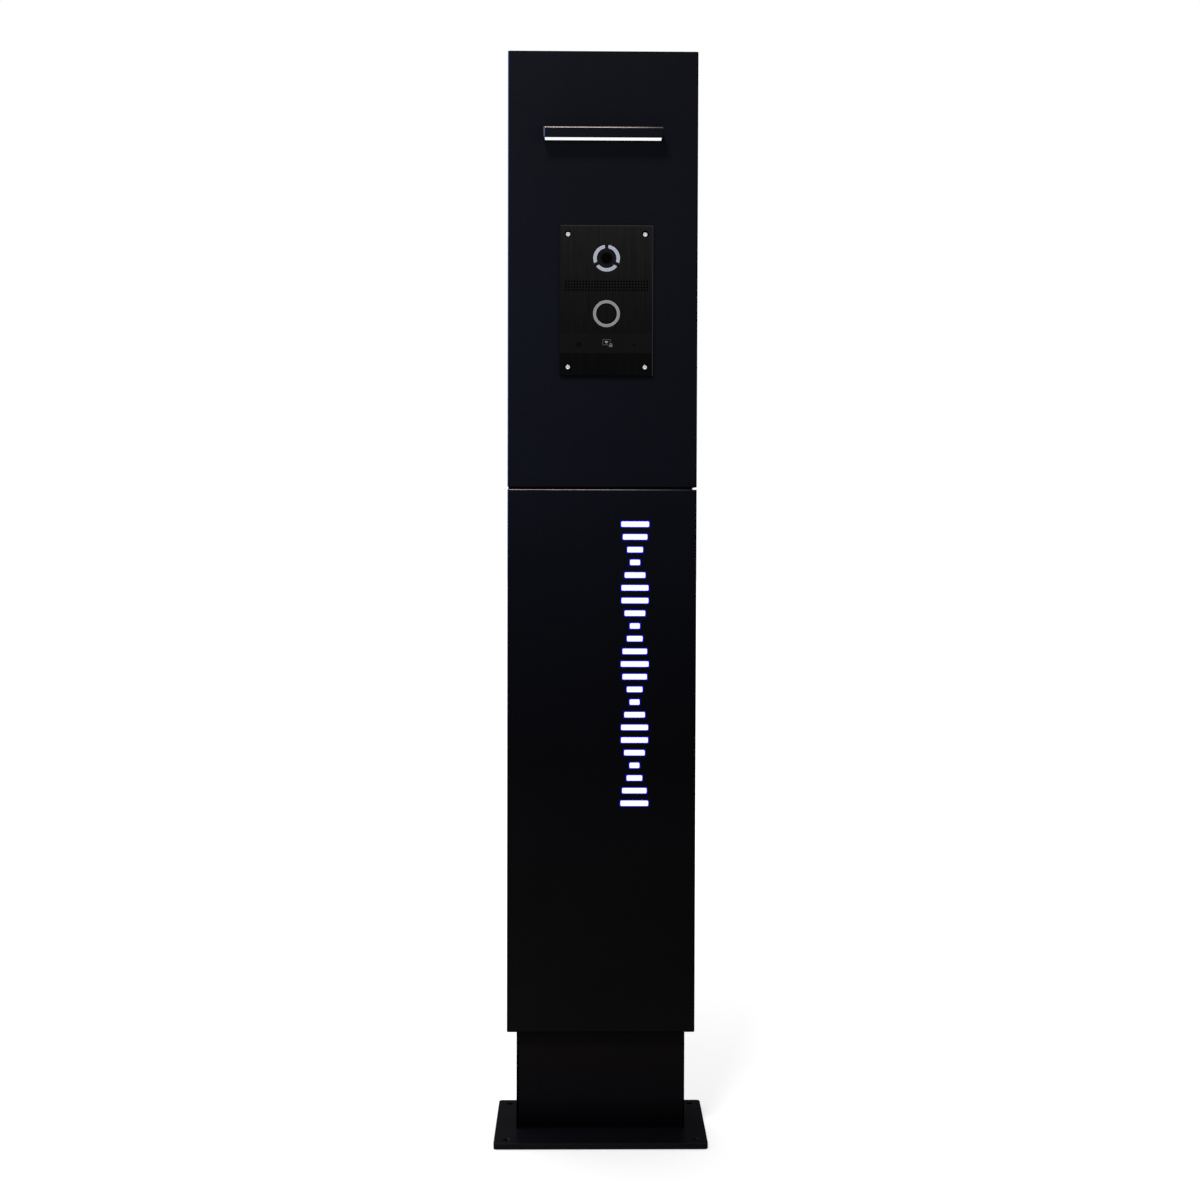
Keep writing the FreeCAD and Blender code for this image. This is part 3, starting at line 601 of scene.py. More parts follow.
def lightGuide(name, colour, node, band):
    g = guideWork
    material, tree, shader = newFinish(name)
    middle = (band["inner"] + band["outer"]) / 2 * mm
    offLine = sums(tree, "ABSOLUTE", sums(tree, "SUBTRACT", radiusFrom(tree, node), middle))
    line = spread(tree, offLine, g["lineTone"], 1.0, *[width * mm for width in g["line"]])
    milk = noise(tree, objectPlace(tree), g["milkScale"])
    tone = scaled(tree, flat(tree, colour), line, around(tree, milk, 1.0, g["milk"]))
    link(tree, tone, shader, "Base Color")
    link(tree, spread(tree, milk, *g["roughness"]), shader, "Roughness")
    weight, depth = g["scatter"]
    plain(shader, **{
        "Specular IOR Level": g["specular"], "Subsurface Weight": weight, "Subsurface Scale": depth * mm
    })
    return material


acrylic = {
    "glow": 0.96,
    "ownColour": 0.15,
    "hazeScale": 45.0,
    "haze": 0.03,
    "roughness": (0.40, 0.50),
    "specular": 0.1,
    "lampFade": (2.0, 1.2),    # mm from the lamp's long edges, between which its light fades out
}


def litAcrylic(name, colour, glow=acrylic["glow"]):
    material, tree, shader = newFinish(name)
    haze = noise(tree, objectPlace(tree), acrylic["hazeScale"])
    tone = scaled(tree, flat(tree, colour), around(tree, haze, 1.0, acrylic["haze"]))
    link(tree, scaled(tree, tone, grey(acrylic["ownColour"])), shader, "Base Color")
    link(tree, tone, shader, "Emission Color")
    link(tree, spread(tree, haze, *acrylic["roughness"]), shader, "Roughness")
    plain(shader, **{"Emission Strength": glow, "Specular IOR Level": acrylic["specular"]})
    return material


def lampGlow():
    material = litAcrylic("lampGlow", grey(1.0))
    tree = material.node_tree
    shader = tree.nodes["Principled BSDF"]
    low, high, centre = sizeOf("lamp_diffuser")
    depth = addNode(tree, "ShaderNodeSeparateXYZ", {"Vector": objectPlace(tree)}).outputs["Y"]
    fromMiddle = sums(tree, "ABSOLUTE", sums(tree, "SUBTRACT", depth, centre.y))
    begin, end = [(high.y - low.y) / 2 - width * mm for width in acrylic["lampFade"]]
    link(tree, spread(tree, fromMiddle, acrylic["glow"], 0.0, begin, end), shader, "Emission Strength")
    return material


boardLook = {
    "scale": 90.0,
    "trackWidth": 0.012,
    "trackLength": 0.7,
    "trackPitch": 0.13,
    "wearScale": 300.0,
    "roughness": (0.28, 0.40),
    "relief": (0.3, 0.03),     # strength, and depth in mm
    "specular": 0.3,
}


def circuit(name, mask, track):
    b = boardLook
    material, tree, shader = newFinish(name)
    place = objectPlace(tree)
    turned = addNode(tree, "ShaderNodeMapping", {
        "Vector": place, "Rotation": (math.pi / 2, 0, 0)
    }).outputs["Vector"]
    tracks = addNode(tree, "ShaderNodeTexBrick", {
        "Vector": turned, "Scale": b["scale"], "Mortar Size": b["trackWidth"],
        "Brick Width": b["trackLength"], "Row Height": b["trackPitch"],
        "Color1": (0, 0, 0, 1), "Color2": (0, 0, 0, 1), "Mortar": (1, 1, 1, 1),
    }).outputs["Color"]
    link(tree, ramp(tree, tracks, ((0, mask), (1, track))), shader, "Base Color")
    wear = noise(tree, place, b["wearScale"], detail=2.0)
    link(tree, spread(tree, wear, *b["roughness"]), shader, "Roughness")
    relief(tree, shader, tracks, *b["relief"])
    plain(shader, **{"Specular IOR Level": b["specular"]})
    return material


windowLook = {                 # radii in mm
    "toneFrom": 4.2,
    "toneTo": 8.2,
    "tones": (                 # at shares of the way between these radii
        (0.0, (0.0008, 0.0008, 0.0010)),
        (0.3, (0.0026, 0.0026, 0.0028)),
        (0.6, (0.0050, 0.0050, 0.0052)),
        (1.0, (0.0120, 0.0120, 0.0122)),
    ),
    "clearTo": 4.4,
    "darkFrom": 5.6,
    "clearness": 0.85,
    "refraction": 1.08,
    "wearScale": 90.0,
    "roughness": (0.10, 0.16),
    "specular": 0.3,
}


def windowGlass():
    w = windowLook
    material, tree, shader = newFinish("cameraGlass")
    radius = radiusFrom(tree, "camera_window")
    share = spread(tree, radius, 0, 1, w["toneFrom"] * mm, w["toneTo"] * mm)
    link(tree, ramp(tree, share, w["tones"]), shader, "Base Color")
    clearness = spread(tree, radius, w["clearness"], 0.0, w["clearTo"] * mm, w["darkFrom"] * mm)
    link(tree, clearness, shader, "Transmission Weight")
    wear = noise(tree, objectPlace(tree), w["wearScale"], detail=2.0)
    link(tree, spread(tree, wear, *w["roughness"]), shader, "Roughness")
    plain(shader, IOR=w["refraction"], **{"Specular IOR Level": w["specular"]})
    return material


lensLook = {
    "radius": 5.0,             # mm
    "tones": (                 # tones at shares of the radius: a dark lens whose two thin bright rings are painted reflections
        (0.00, (0.0004, 0.0004, 0.0008)),
        (0.34, (0.0012, 0.0012, 0.0030)),
        (0.40, (0.0120, 0.0120, 0.0140)),
        (0.46, (0.0008, 0.0008, 0.0010)),
        (0.82, (0.0010, 0.0010, 0.0014)),
        (0.89, (0.0160, 0.0160, 0.0170)),
        (0.96, (0.0008, 0.0008, 0.0008)),
    ),
    "wearScale": 200.0,
    "roughness": (0.05, 0.10),
    "specular": 0.05,
}


def lensGlass():
    g = lensLook
    material, tree, shader = newFinish("lensGlass")
    share = spread(tree, radiusFrom(tree, "camera_lens"), 0, 1, 0, g["radius"] * mm)
    link(tree, ramp(tree, share, g["tones"]), shader, "Base Color")
    wear = noise(tree, objectPlace(tree), g["wearScale"], detail=2.0)
    link(tree, spread(tree, wear, *g["roughness"]), shader, "Roughness")
    plain(shader, **{"Specular IOR Level": g["specular"]})
    return material


clothLook = {
    "weaveScale": 2500.0,
    "tones": (0.0002, 0.0006),
    "relief": (0.5, 0.05),     # strength, and depth in mm
    "wearScale": 800.0,
    "roughness": (0.85, 0.95),
}


def clothMesh():
    c = clothLook
    material, tree, shader = newFinish("speakerCloth")
    dark, pale = [(*grey(tone), 1) for tone in c["tones"]]
    weave = addNode(tree, "ShaderNodeTexChecker", {
        "Vector": objectPlace(tree), "Scale": c["weaveScale"], "Color1": dark, "Color2": pale
    })
    link(tree, weave.outputs["Color"], shader, "Base Color")
    relief(tree, shader, weave.outputs["Fac"], *c["relief"])
    wear = noise(tree, objectPlace(tree), c["wearScale"], detail=2.0)
    link(tree, spread(tree, wear, *c["roughness"]), shader, "Roughness")
    plain(shader, **{"Specular IOR Level": 0.0})
    return material


finishes = {
    "black_powder_coat": powderCoat("blackPowderCoat"),
    "black_anodised_plate": brushedAnodised(),
    "galvanised_steel": metal("galvanisedSteel", (0.42, 0.43, 0.45), 0.42, spangle=130.0),
    "stainless_steel": metal("stainlessSteel", (0.52, 0.515, 0.50), 0.28),
    "zinc_plated_steel": metal("zincPlatedSteel", (0.50, 0.51, 0.52), 0.34),
    "white_tray": metal("whiteTray", (0.80, 0.80, 0.79), 0.6, metallic=0.0),
    "supply_case": metal("supplyCase", (0.55, 0.56, 0.57), 0.4, stretch=0.03),
    "opal_acrylic": litAcrylic("opalAcrylic", grey(1.0)),
    "light_guide": lightGuide("lightGuide", (0.41, 0.445, 0.52), "camera_window", guideWork["arcs"]),
    "black_plastic": moulded("blackPlastic", grey(0.002), 0.5, specular=0.02),
    "black_gloss": moulded("blackGloss", grey(0.0055), 0.3, grainScale=900.0, depth=0.002, specular=0.01),
    "camera_glass": windowGlass(),
    "lens_glass": lensGlass(),
    "silicone": moulded("silicone", grey(0.010), 0.7, grainScale=3500.0),
    "circuit_board": circuit("circuitBoard", (0.006, 0.06, 0.022), (0.02, 0.12, 0.045)),
    "black_circuit": circuit("blackCircuit", grey(0.001), grey(0.002)),
    "white_circuit": circuit("whiteCircuit", (0.7, 0.7, 0.68), (0.6, 0.55, 0.3)),
    "grey_plastic": moulded("greyPlastic", (0.28, 0.29, 0.30), 0.5),
    "green_plastic": moulded("greenPlastic", (0.02, 0.16, 0.05), 0.4),
    "speaker_black": moulded("speakerBlack", grey(0.004), 0.7, specular=0.05),
    "speaker_cloth": clothMesh(),
    # painted highlights on the upper front edges of the lamp and of the lower housing at the joint
    "lampGlint": glint("lampRimGlint", (0.235, 0.20, 0.178), brightTo=15, dullFrom=58, dull=0.25),
    "jointGlint": glint("jointRimGlint", (0.22, 0.19, 0.185), brightTo=-15, dullFrom=95, dull=0.08),
    # painted highlight on the plate's right-hand and upper chamfers and the strip's right-hand end
    "chamferHighlight": moulded("paintedChamferHighlight", (0.022, 0.022, 0.023), 0.4, specular=0.1),
    # painted highlight on the right-hand rims of the base plate's front holes
    "holeCrescentHighlight": moulded("paintedHoleCrescentHighlight", (0.24, 0.24, 0.31), 0.4, specular=0.1),
    # painted shade on the walls of the plate's openings
    "cutWallShade": moulded("paintedCutWallShade", grey(0.0006), 0.6, specular=0.0),
    "buttonGuide": lightGuide("buttonLightGuide", grey(0.27), "call_button_ring", guideWork["ring"]),
    "signWhite": litAcrylic("signWhite", grey(1.0), 1.0),
    "signBlue": litAcrylic("signBlue", (0.010, 0.006, 0.72), 1.0),
    "iconPrint": moulded("iconPrint", grey(0.065), 0.5, specular=0.05),
    "iconLock": moulded("iconLock", grey(0.12), 0.5, specular=0.05),
    "iconBright": moulded("iconBright", grey(0.25), 0.5, specular=0.05),
    "lampGlow": lampGlow(),
    "sensorWindow": moulded("sensorWindow", grey(0.0027), 0.2, grainScale=300.0, depth=0.001, specular=0.01),
}
for name, look in coatParts.items():
    finishes[name] = powderCoat(name, **look)

for node, piece in frame["nodes"].items():
    dress(piece, slotOf[node])
dress(frame["nodes"]["light_sensor"], "sensorWindow")
dress(frame["nodes"]["lamp_diffuser"], "lampGlow")
print("finishes made:", len(finishes))


# Coated pieces: ends eased, and folds and edges given painted highlights and painted shade

coatedPieces = {               # name, looks of the left fold and of upper front edges
    # the fold and edge looks are painted highlights and painted shade
    "head_housing": ("headHousing", "paintedFoldHighlight", "coatShade"),
    "lower_housing": ("lowerHousing", "paintedFoldHighlight", "jointGlint"),
    "head_rear_cover": ("headRearCover", "paintedFoldHighlight", "black_powder_coat"),
    "lower_rear_cover": ("lowerRearCover", "paintedFoldHighlight", "black_powder_coat"),
    "plinth_tube": ("plinthTube", "coatShade", "coatShade"),
    "joint_spacer": ("jointSpacer", "paintedFoldHighlight", "coatShade"),
    "lamp_housing": ("lampHousing", "paintedFoldHighlight", "lampGlint"),
    "lamp_end_caps": ("lampEndCaps", "paintedFoldHighlight", "lampGlint"),
}
easedEnds = {                  # outer fold radius and end radius in mm
    "head_housing": (2.5, 0.5),
    "lower_housing": (2.5, 0.65),
}
paintedLightLeans = {                      # how far a face's normal leans, to choose where highlights and shade are painted
    "flat": 0.995,             # along one axis, on a flat face
    "rearward": 0.1,
    "tilted": 0.08,            # up or down, on an upper or lower edge
    "level": 0.3,              # to a side, at most, on an upper edge
    "outerHalf": 0.5,          # to a side, on the outer half of a fold
    "leftInner": 0.26,         # to the left, on the part of the left fold next to it
    "capFront": 0.7,
}
basePlateWork = {
    "edge": 0.6,
    "top": 0.9,                # how far a normal points up on the top
    "tilted": 0.2,             # and on an edge
    "sideways": 0.4,           # how far it points left on a hole's right-hand rim
}
plainCoat, highlightedFold, shadedEdge, upperEdge, highlightedCap = range(5)    # material places of a coated piece, for plain coat and its painted highlights and shade
plateCoat, plateTop, highlightedRim, holeCrescentHighlight = range(4)                 # and of the base plate, with painted shade on the top and painted highlights on the rims


def easeEnds(piece, node, segments=4):
    low, high, centre = sizeOf(node)
    fold, width = [length * mm for length in easedEnds[node]]
    onFold = 0.05 * mm         # the fold's facets lie less than this inside its round

    def onOutline(point):
        overX = max(abs(point.x - centre.x) - (high.x - centre.x) + fold, 0)
        overY = max(abs(point.y - centre.y) - (high.y - centre.y) + fold, 0)
        return abs(math.hypot(overX, overY) - fold) < onFold

    def wanted(a, b):
        atEnd = any(max(abs(a.z - end), abs(b.z - end)) < inLine for end in (low.z, high.z))
        return atEnd and all(onOutline(point) for point in (a, b, (a + b) / 2))

    selectEdges(piece, wanted)
    bpy.ops.mesh.bevel(offset=width, segments=segments, affect="EDGES")
    closeMesh()


# which face of a coated piece gets plain coat, a painted highlight or painted shade
def paintedLookOf(n):
    b = paintedLightLeans
    if max(abs(n.x), abs(n.y), abs(n.z)) > b["flat"] or n.y > b["rearward"]:
        return plainCoat
    if n.z > b["tilted"] and abs(n.x) < b["level"]:
        return upperEdge
    if n.x < -b["outerHalf"]:
        return highlightedFold
    shaded = n.x > b["outerHalf"] or n.x < -b["leftInner"] or n.z < -b["tilted"]
    return shadedEdge if shaded else plainCoat


# painted highlight on the front of the lamp's left end cap
def markCapHighlight(caps):
    caps.data.materials.append(finishes["paintedCapHighlight"])
    for face in caps.data.polygons:
        if face.center.x < 0 and face.normal.y < -paintedLightLeans["capFront"]:
            face.material_index = highlightedCap


def markPlateRims(plate):
    b = basePlateWork
    low, high, centre = sizeOf("base_plate")
    edge = b["edge"] * mm
    for face in plate.data.polygons:
        c, n = face.center, face.normal
        inward = min(c.x - low.x, high.x - c.x, c.y - low.y)
        leftward = n.z > b["tilted"] and n.x < -b["sideways"]
        # painted shade on the top, painted highlights on the front rim and the front holes' rims
        face.material_index = plateCoat
        if n.z > b["top"]:
            face.material_index = plateTop
        elif n.z > b["tilted"] and c.y < low.y + edge:
            face.material_index = highlightedRim
        elif leftward and c.y < centre.y and inward > 2 * edge:
            face.material_index = holeCrescentHighlight      # painted highlight on the right-hand rim of the front holes


def softenCoatedPieces():
    for node, (name, foldLook, upperLook) in coatedPieces.items():
        piece = dress(mergedCopy(node, name), "black_powder_coat", foldLook, "coatShade", upperLook)
        if node in easedEnds:
            easeEnds(piece, node)
        for face in piece.data.polygons:
            face.material_index = paintedLookOf(face.normal)
        if node == "lamp_end_caps":
            markCapHighlight(piece)
        smoothed(piece)
        finished(piece, "post", "black_powder_coat", node)
    plate = mergedCopy("base_plate", "basePlate")
    dress(plate, "black_powder_coat", "coatTop", "paintedRimHighlight", "holeCrescentHighlight")
    softEdges(plate, basePlateWork["edge"] * mm, segments=3)
    markPlateRims(plate)
    finished(plate, "post", "black_powder_coat", "base_plate")


softenCoatedPieces()
print("coated pieces softened")


# Light guides round camera and button, parted as their slots are

def threeArcs(name, inner, outer, gap, front, back, x, z):
    whole = ring(name, inner, outer, front, back, x, z)
    for angle in guideWork["partings"]:
        bar = block("parting", (0, front - past, -gap / 2), (2 * outer, back + past, gap / 2))
        bar.rotation_euler = (0, -math.radians(angle), 0)
        bar.location = (x, 0, z)
        cutBy(whole, settle(bar))
    return whole


def roundArcEnds(arcs, gap, radius, x, z, segments=4):
    def atBar(point, angle):
        turn = math.radians(angle)
        aside = (point.x - x) * math.sin(turn) - (point.z - z) * math.cos(turn)
        return abs(abs(aside) - gap / 2) < inLine

    def wanted(a, b):
        straightBack = abs(a.x - b.x) + abs(a.z - b.z) < inLine
        return straightBack and any(atBar(a, angle) for angle in guideWork["partings"])

    selectEdges(arcs, wanted)
    bpy.ops.mesh.bevel(offset=radius, segments=segments, affect="EDGES")
    closeMesh()


def lightGuides():
    g = guideWork
    a, r = g["arcs"], g["ring"]
    low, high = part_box("camera_light_arcs")
    eye = sizeOf("camera_window")[2]
    less = g["shrink"] * mm
    gap = a["gap"] * mm + less
    arcs = threeArcs(
        "cameraArcs", a["inner"] * mm + less, (a["outer"] - a["outerShrink"]) * mm, gap,
        low.y, high.y, eye.x, eye.z,
    )
    roundArcEnds(arcs, gap, g["corner"] * mm, eye.x, eye.z)
    dress(arcs, "light_guide")
    softEdges(arcs, g["edge"] * mm, segments=3)
    finished(arcs, "post", "light_guide", "camera_light_arcs")
    low, high, centre = sizeOf("call_button_ring")
    halo = ring(
        "buttonRing", r["inner"] * mm + less, r["outer"] * mm - less, low.y, high.y, centre.x, centre.z
    )
    dress(halo, "buttonGuide")
    softEdges(halo, g["edge"] * mm, segments=3)
    finished(halo, "post", "light_guide", "call_button_ring")


lightGuides()
print("light guides made")


# Intercom plate with its openings, round perforation and countersinks

plateWork = {
    "corner": 1.2,
    "chamfer": 1.0,
    "holeRadius": 0.9,
    "holeSides": 14,
    "holeColumns": 29,
    "holeRows": 4,
    "clothMargin": 1.5,        # from the outer holes to the cloth's edge
    "stripGap": 0.1,
    "antennaGap": 0.3,
    "sinkRadius": 3.7,
    "sinkThroat": 1.8,
    "cutWall": 0.95,           # inside an opening a normal points less than this to the front
    "rimTilt": 0.3,            # on the chamfers with a painted highlight it points this far to the right or up
    "crease": 30,
}
shadedOpening, brightRim = 1, 2  # material places of the plate: painted shade on the openings' walls, painted highlight on chamfers

screwWork = {
    "seatRadius": 2.9,
    "headRadius": 2.3,
    "shankRadius": 1.4,
    "socketRadius": 1.0,       # over the corners
    "socketDepth": 0.7,
    "edge": 0.2,
}


def screwPlaces():
    low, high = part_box("face_plate_screws")
    half = screwWork["seatRadius"] * mm
    return [(x, z) for x in (low.x + half, high.x - half) for z in (low.z + half, high.z - half)]


def perforationCutter(front, back):
    p = plateWork
    low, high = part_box("speaker_mesh")
    margin = p["clothMargin"] * mm
    pitch = (high.x - low.x - 2 * margin) / (p["holeColumns"] - 1)
    cutter = disc(
        "perforation", p["holeRadius"] * mm, front, back, low.x + margin, low.z + margin, p["holeSides"]
    )
    for count, step in ((p["holeColumns"], (pitch, 0, 0)), (p["holeRows"], (0, 0, pitch))):
        applied(
            cutter, "ARRAY", count=count, use_relative_offset=False,
            use_constant_offset=True, constant_offset_displace=step,
        )
    return cutter


def plateCutters(low, high):
    p, a = plateWork, guideWork["arcs"]
    front, back = low.y - past, high.y + past
    gap = p["stripGap"] * mm
    outline = guideWork["outline"] * mm
    stripLow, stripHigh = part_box("reader_strip")
    antennaLow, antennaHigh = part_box("reader_antenna")
    spare = p["antennaGap"] * mm
    eyeLow, eyeHigh, eye = sizeOf("camera_window")
    ringLow, ringHigh, button = sizeOf("call_button_ring")
    yield block(
        "stripPocket", (low.x - past, front, stripLow.z - gap),
        (high.x + past, stripHigh.y, stripHigh.z + gap),
    )
    yield block(
        "antennaWay", (antennaLow.x - spare, front, antennaLow.z - spare),
        (antennaHigh.x + spare, back, antennaHigh.z + spare),
    )
    windowRadius = (eyeHigh.x - eyeLow.x) / 2 + gap
    yield disc("windowHole", windowRadius, front, back, eye.x, eye.z, sides=96)
    yield threeArcs(
        "arcSlots", a["inner"] * mm - outline, a["outer"] * mm + outline, a["gap"] * mm - 2 * outline,
        front, back, eye.x, eye.z,
    )
    buttonRadius = (ringHigh.x - ringLow.x) / 2 + outline
    yield disc("buttonHole", buttonRadius, front, back, button.x, button.z, sides=128)
    slope = (p["sinkRadius"] - p["sinkThroat"]) * mm / (high.y - low.y)
    for x, z in screwPlaces():
        yield cone(
            "countersink", p["sinkRadius"] * mm + slope * past, p["sinkThroat"] * mm - slope * past,
            front, back, x, z,
        )
    yield perforationCutter(front, back)


def facePlate():
    p = plateWork
    low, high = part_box("intercom_face_plate")
    plate = roundedBlock("facePlate", low, high, p["corner"] * mm)
    selectEdges(plate, lambda a, b: max(a.y, b.y) < low.y + inLine)
    rim = p["chamfer"] * mm
    bpy.ops.mesh.bevel(offset=rim, segments=1, affect="EDGES")
    closeMesh()
    for cutter in list(plateCutters(low, high)):
        cutBy(plate, cutter)
    dress(plate, "black_anodised_plate", "cutWallShade", "chamferHighlight")
    for face in plate.data.polygons:
        c, n = face.center, face.normal
        inside = min(c.x - low.x, high.x - c.x, c.z - low.z, high.z - c.z) > rim
        # painted shade on the openings' walls, and a painted highlight on the right-hand and upper chamfers
        if inside and n.y > -p["cutWall"]:
            face.material_index = shadedOpening
        elif n.y < -p["rimTilt"] and max(n.x, n.z) > p["rimTilt"]:
            face.material_index = brightRim
    smoothed(plate, p["crease"])
    finished(plate, "post", "black_anodised_plate", "intercom_face_plate")


facePlate()
print("intercom plate made")


# Countersunk screws with a hexagon socket

def plateScrews():
    s = screwWork
    low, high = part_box("face_plate_screws")
    heads = []
    for x, z in screwPlaces():
        head = cone("screwHead", s["headRadius"] * mm, s["shankRadius"] * mm, low.y, high.y, x, z)
        floor = low.y + s["socketDepth"] * mm
        cutBy(head, disc("socket", s["socketRadius"] * mm, low.y - past, floor, x, z, sides=6))
        heads.append(head)
    screws = dress(joined("plateScrews", heads), "stainless_steel")
    softEdges(screws, s["edge"] * mm)
    finished(screws, "post", "stainless_steel", "face_plate_screws")


plateScrews()
print("plate screws made")


# Hexagon heads of the rear covers' screws, with their corners eased

rearScrewWork = {
    "names": {"head_rear_screws": "headCoverScrews", "lower_rear_screws": "lowerCoverScrews"},
    "edge": 0.35,
}


def rearScrews():
    for node, name in rearScrewWork["names"].items():
        screws = dress(mergedCopy(node, name), "stainless_steel")
        softEdges(screws, rearScrewWork["edge"] * mm)
        finished(screws, "post", "stainless_steel", node)


rearScrews()
print("rear screws made")


# Call button: brushed cap that rides the button's body, and the seal between cap and switch

buttonWork = {
    "capEdge": 0.25,
    "sealEdge": 0.25,
    "sealWall": 0.8,
}


def callButton():
    cap = dress(mergedCopy("call_button_cap", "callButtonCap"), "black_anodised_plate")
    softEdges(cap, buttonWork["capEdge"] * mm, segments=3)
    finished(cap, "call_button", "black_anodised_plate", "call_button_cap")
    low, high, centre = sizeOf("call_button_seal")
    seal = dress(mergedCopy("call_button_seal", "callButtonSeal"), "silicone")
    softEdges(seal, buttonWork["sealEdge"] * mm)
    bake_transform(seal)
    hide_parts("call_button_seal")


callButton()
print("button and seal made")


# Reader strip, chamfered at its ends like the plate, with the microphone's boot

stripWork = {
    "chamfer": 1.0,
    "bootRadius": 1.25,
    "bootHole": 0.35,
    "bootHoleDepth": 0.6,
    "bootEdge": 0.2,
    "rimTilt": 0.3,            # on the right-hand chamfer a normal points this far to the right
    "end": 0.95,               # and past this the face is the strip's end
    "crease": 30,
}


def readerStrip():
    w = stripWork
    low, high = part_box("reader_strip")
    strip = dress(mergedCopy("reader_strip", "readerStrip"), "black_gloss", "chamferHighlight")

    def wanted(a, b):
        upright = abs(a.x - b.x) + abs(a.y - b.y) < inLine and abs(a.y - low.y) < inLine
        return upright and min(a.x - low.x, high.x - a.x) < inLine

    selectEdges(strip, wanted)
    chamfer = w["chamfer"] * mm
    bpy.ops.mesh.bevel(offset=chamfer, segments=1, affect="EDGES")
    closeMesh()
    # painted highlight on the right-hand end chamfer
    for face in strip.data.polygons:
        atEnd = high.x - face.center.x < chamfer
        face.material_index = int(atEnd and w["rimTilt"] < face.normal.x < w["end"])
    smoothed(strip, w["crease"])
    finished(strip, "post", "black_gloss", "reader_strip")
    low, high, centre = sizeOf("microphone")
    floor = low.y + w["bootHoleDepth"] * mm
    boot = disc("microphoneBoot", w["bootRadius"] * mm, low.y, high.y, centre.x, centre.z, sides=48)
    cutBy(boot, disc("bootHole", w["bootHole"] * mm, low.y - past, floor, centre.x, centre.z, sides=24))
    dress(boot, "black_plastic")
    softEdges(boot, w["bootEdge"] * mm)
    finished(boot, "post", "black_plastic", "microphone")


readerStrip()
print("reader strip made")


# Reader mark printed on the strip: a card with a contactless sign and a padlock

iconWork = {
    "centre": (0.2, 0.8),      # from the strip's middle
    "print": 0.05,
    "card": {"half": (4.4, 3.1), "line": 0.65, "corner": 1.0},
    "sign": {"centre": (-0.2, -1.5), "radius": 2.8, "spread": 90},
    "lock": {"centre": (4.4, -3.6), "half": (1.85, 1.3), "corner": 0.5},
    "shackle": {"centre": (4.4, -2.45), "inner": 0.9, "outer": 1.6, "legs": 0.3},
    "clear": {"centre": (5.0, -2.8), "half": (3.1, 2.7), "corner": 0.8},
}


def readerMark():
    w = iconWork
    strip = sizeOf("reader_strip")[2]
    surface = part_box("reader_strip")[0].y
    front, back = surface - w["print"] * mm, surface + w["print"] * mm

    def at(offset):
        return strip.x + (w["centre"][0] + offset[0]) * mm, strip.z + (w["centre"][1] + offset[1]) * mm

    def tile(name, centre, half, corner, deep=0):
        x, z = at(centre)
        return roundedBlock(
            name, (x - half[0] * mm, front - deep, z - half[1] * mm),
            (x + half[0] * mm, back + deep, z + half[1] * mm), corner * mm,
        )

    c, lock, clear = w["card"], w["lock"], w["clear"]
    inner = [h - c["line"] for h in c["half"]]
    card = tile("card", (0, 0), c["half"], c["corner"])
    cutBy(card, tile("cardInside", (0, 0), inner, c["corner"] - c["line"] / 2, past))
    cutBy(card, tile("lockClear", clear["centre"], clear["half"], clear["corner"], past))
    x, z = at(w["sign"]["centre"])
    radius = w["sign"]["radius"] * mm
    fan = disc("contactless", radius, front, back, x, z)
    for side in (-1, 1):       # what lies outside the fan's spread is cut off
        wedge = block("wedge", (-2 * radius, front - past, -2 * radius), (2 * radius, back + past, 0))
        wedge.rotation_euler = (0, side * math.radians(90 - w["sign"]["spread"] / 2), 0)
        wedge.location = (x, 0, z)
        cutBy(fan, settle(wedge))
    body = tile("lockBody", lock["centre"], lock["half"], lock["corner"])
    bow = w["shackle"]
    x, z = at(bow["centre"])
    radius = bow["outer"] * mm
    shackle = ring("shackle", bow["inner"] * mm, radius, front, back, x, z, steps=48)
    cutBy(shackle, block(
        "below", (x - 2 * radius, front - past, z - 2 * radius),
        (x + 2 * radius, back + past, z - bow["legs"] * mm),
    ))
    dress(card, "iconPrint")
    dress(fan, "iconBright")
    dress(body, "iconLock")
    dress(shackle, "iconLock")
    mark = joined("readerMark", [card, fan, body, shackle])
    smoothed(mark)
    finished(mark, "post", "grey_plastic")


readerMark()
print("reader mark made")


# Back-lit slots: clear blocks on the diffuser that fill the slots, with a blue edge

signWork = {
    "slotCount": 23,
    "slotHeight": 7.3,
    "longest": 31.0,
    "shortest": 9.0,
    "slotsPerWave": 5.5,
    "fit": 0.15,
    "setBack": 0.25,
    "blueEdge": 0.7,
    "corner": 1.9,
}
whitePlace, bluePlace = 0, 1   # material places of the sign


def signIsland(x, z, halfLength, halfHeight, front, back):
    island = roundedBlock(
        "island", (x - halfLength, front, z - halfHeight), (x + halfLength, back, z + halfHeight),
        signWork["corner"] * mm,
    )
    dress(island, "signWhite", "signBlue")
    for face in island.data.polygons:
        face.material_index = bluePlace
    selectFaces(island, looksForward)
    bpy.ops.mesh.inset(thickness=signWork["blueEdge"] * mm)
    island.active_material_index = whitePlace
    bpy.ops.object.material_slot_assign()
    closeMesh()
    return island


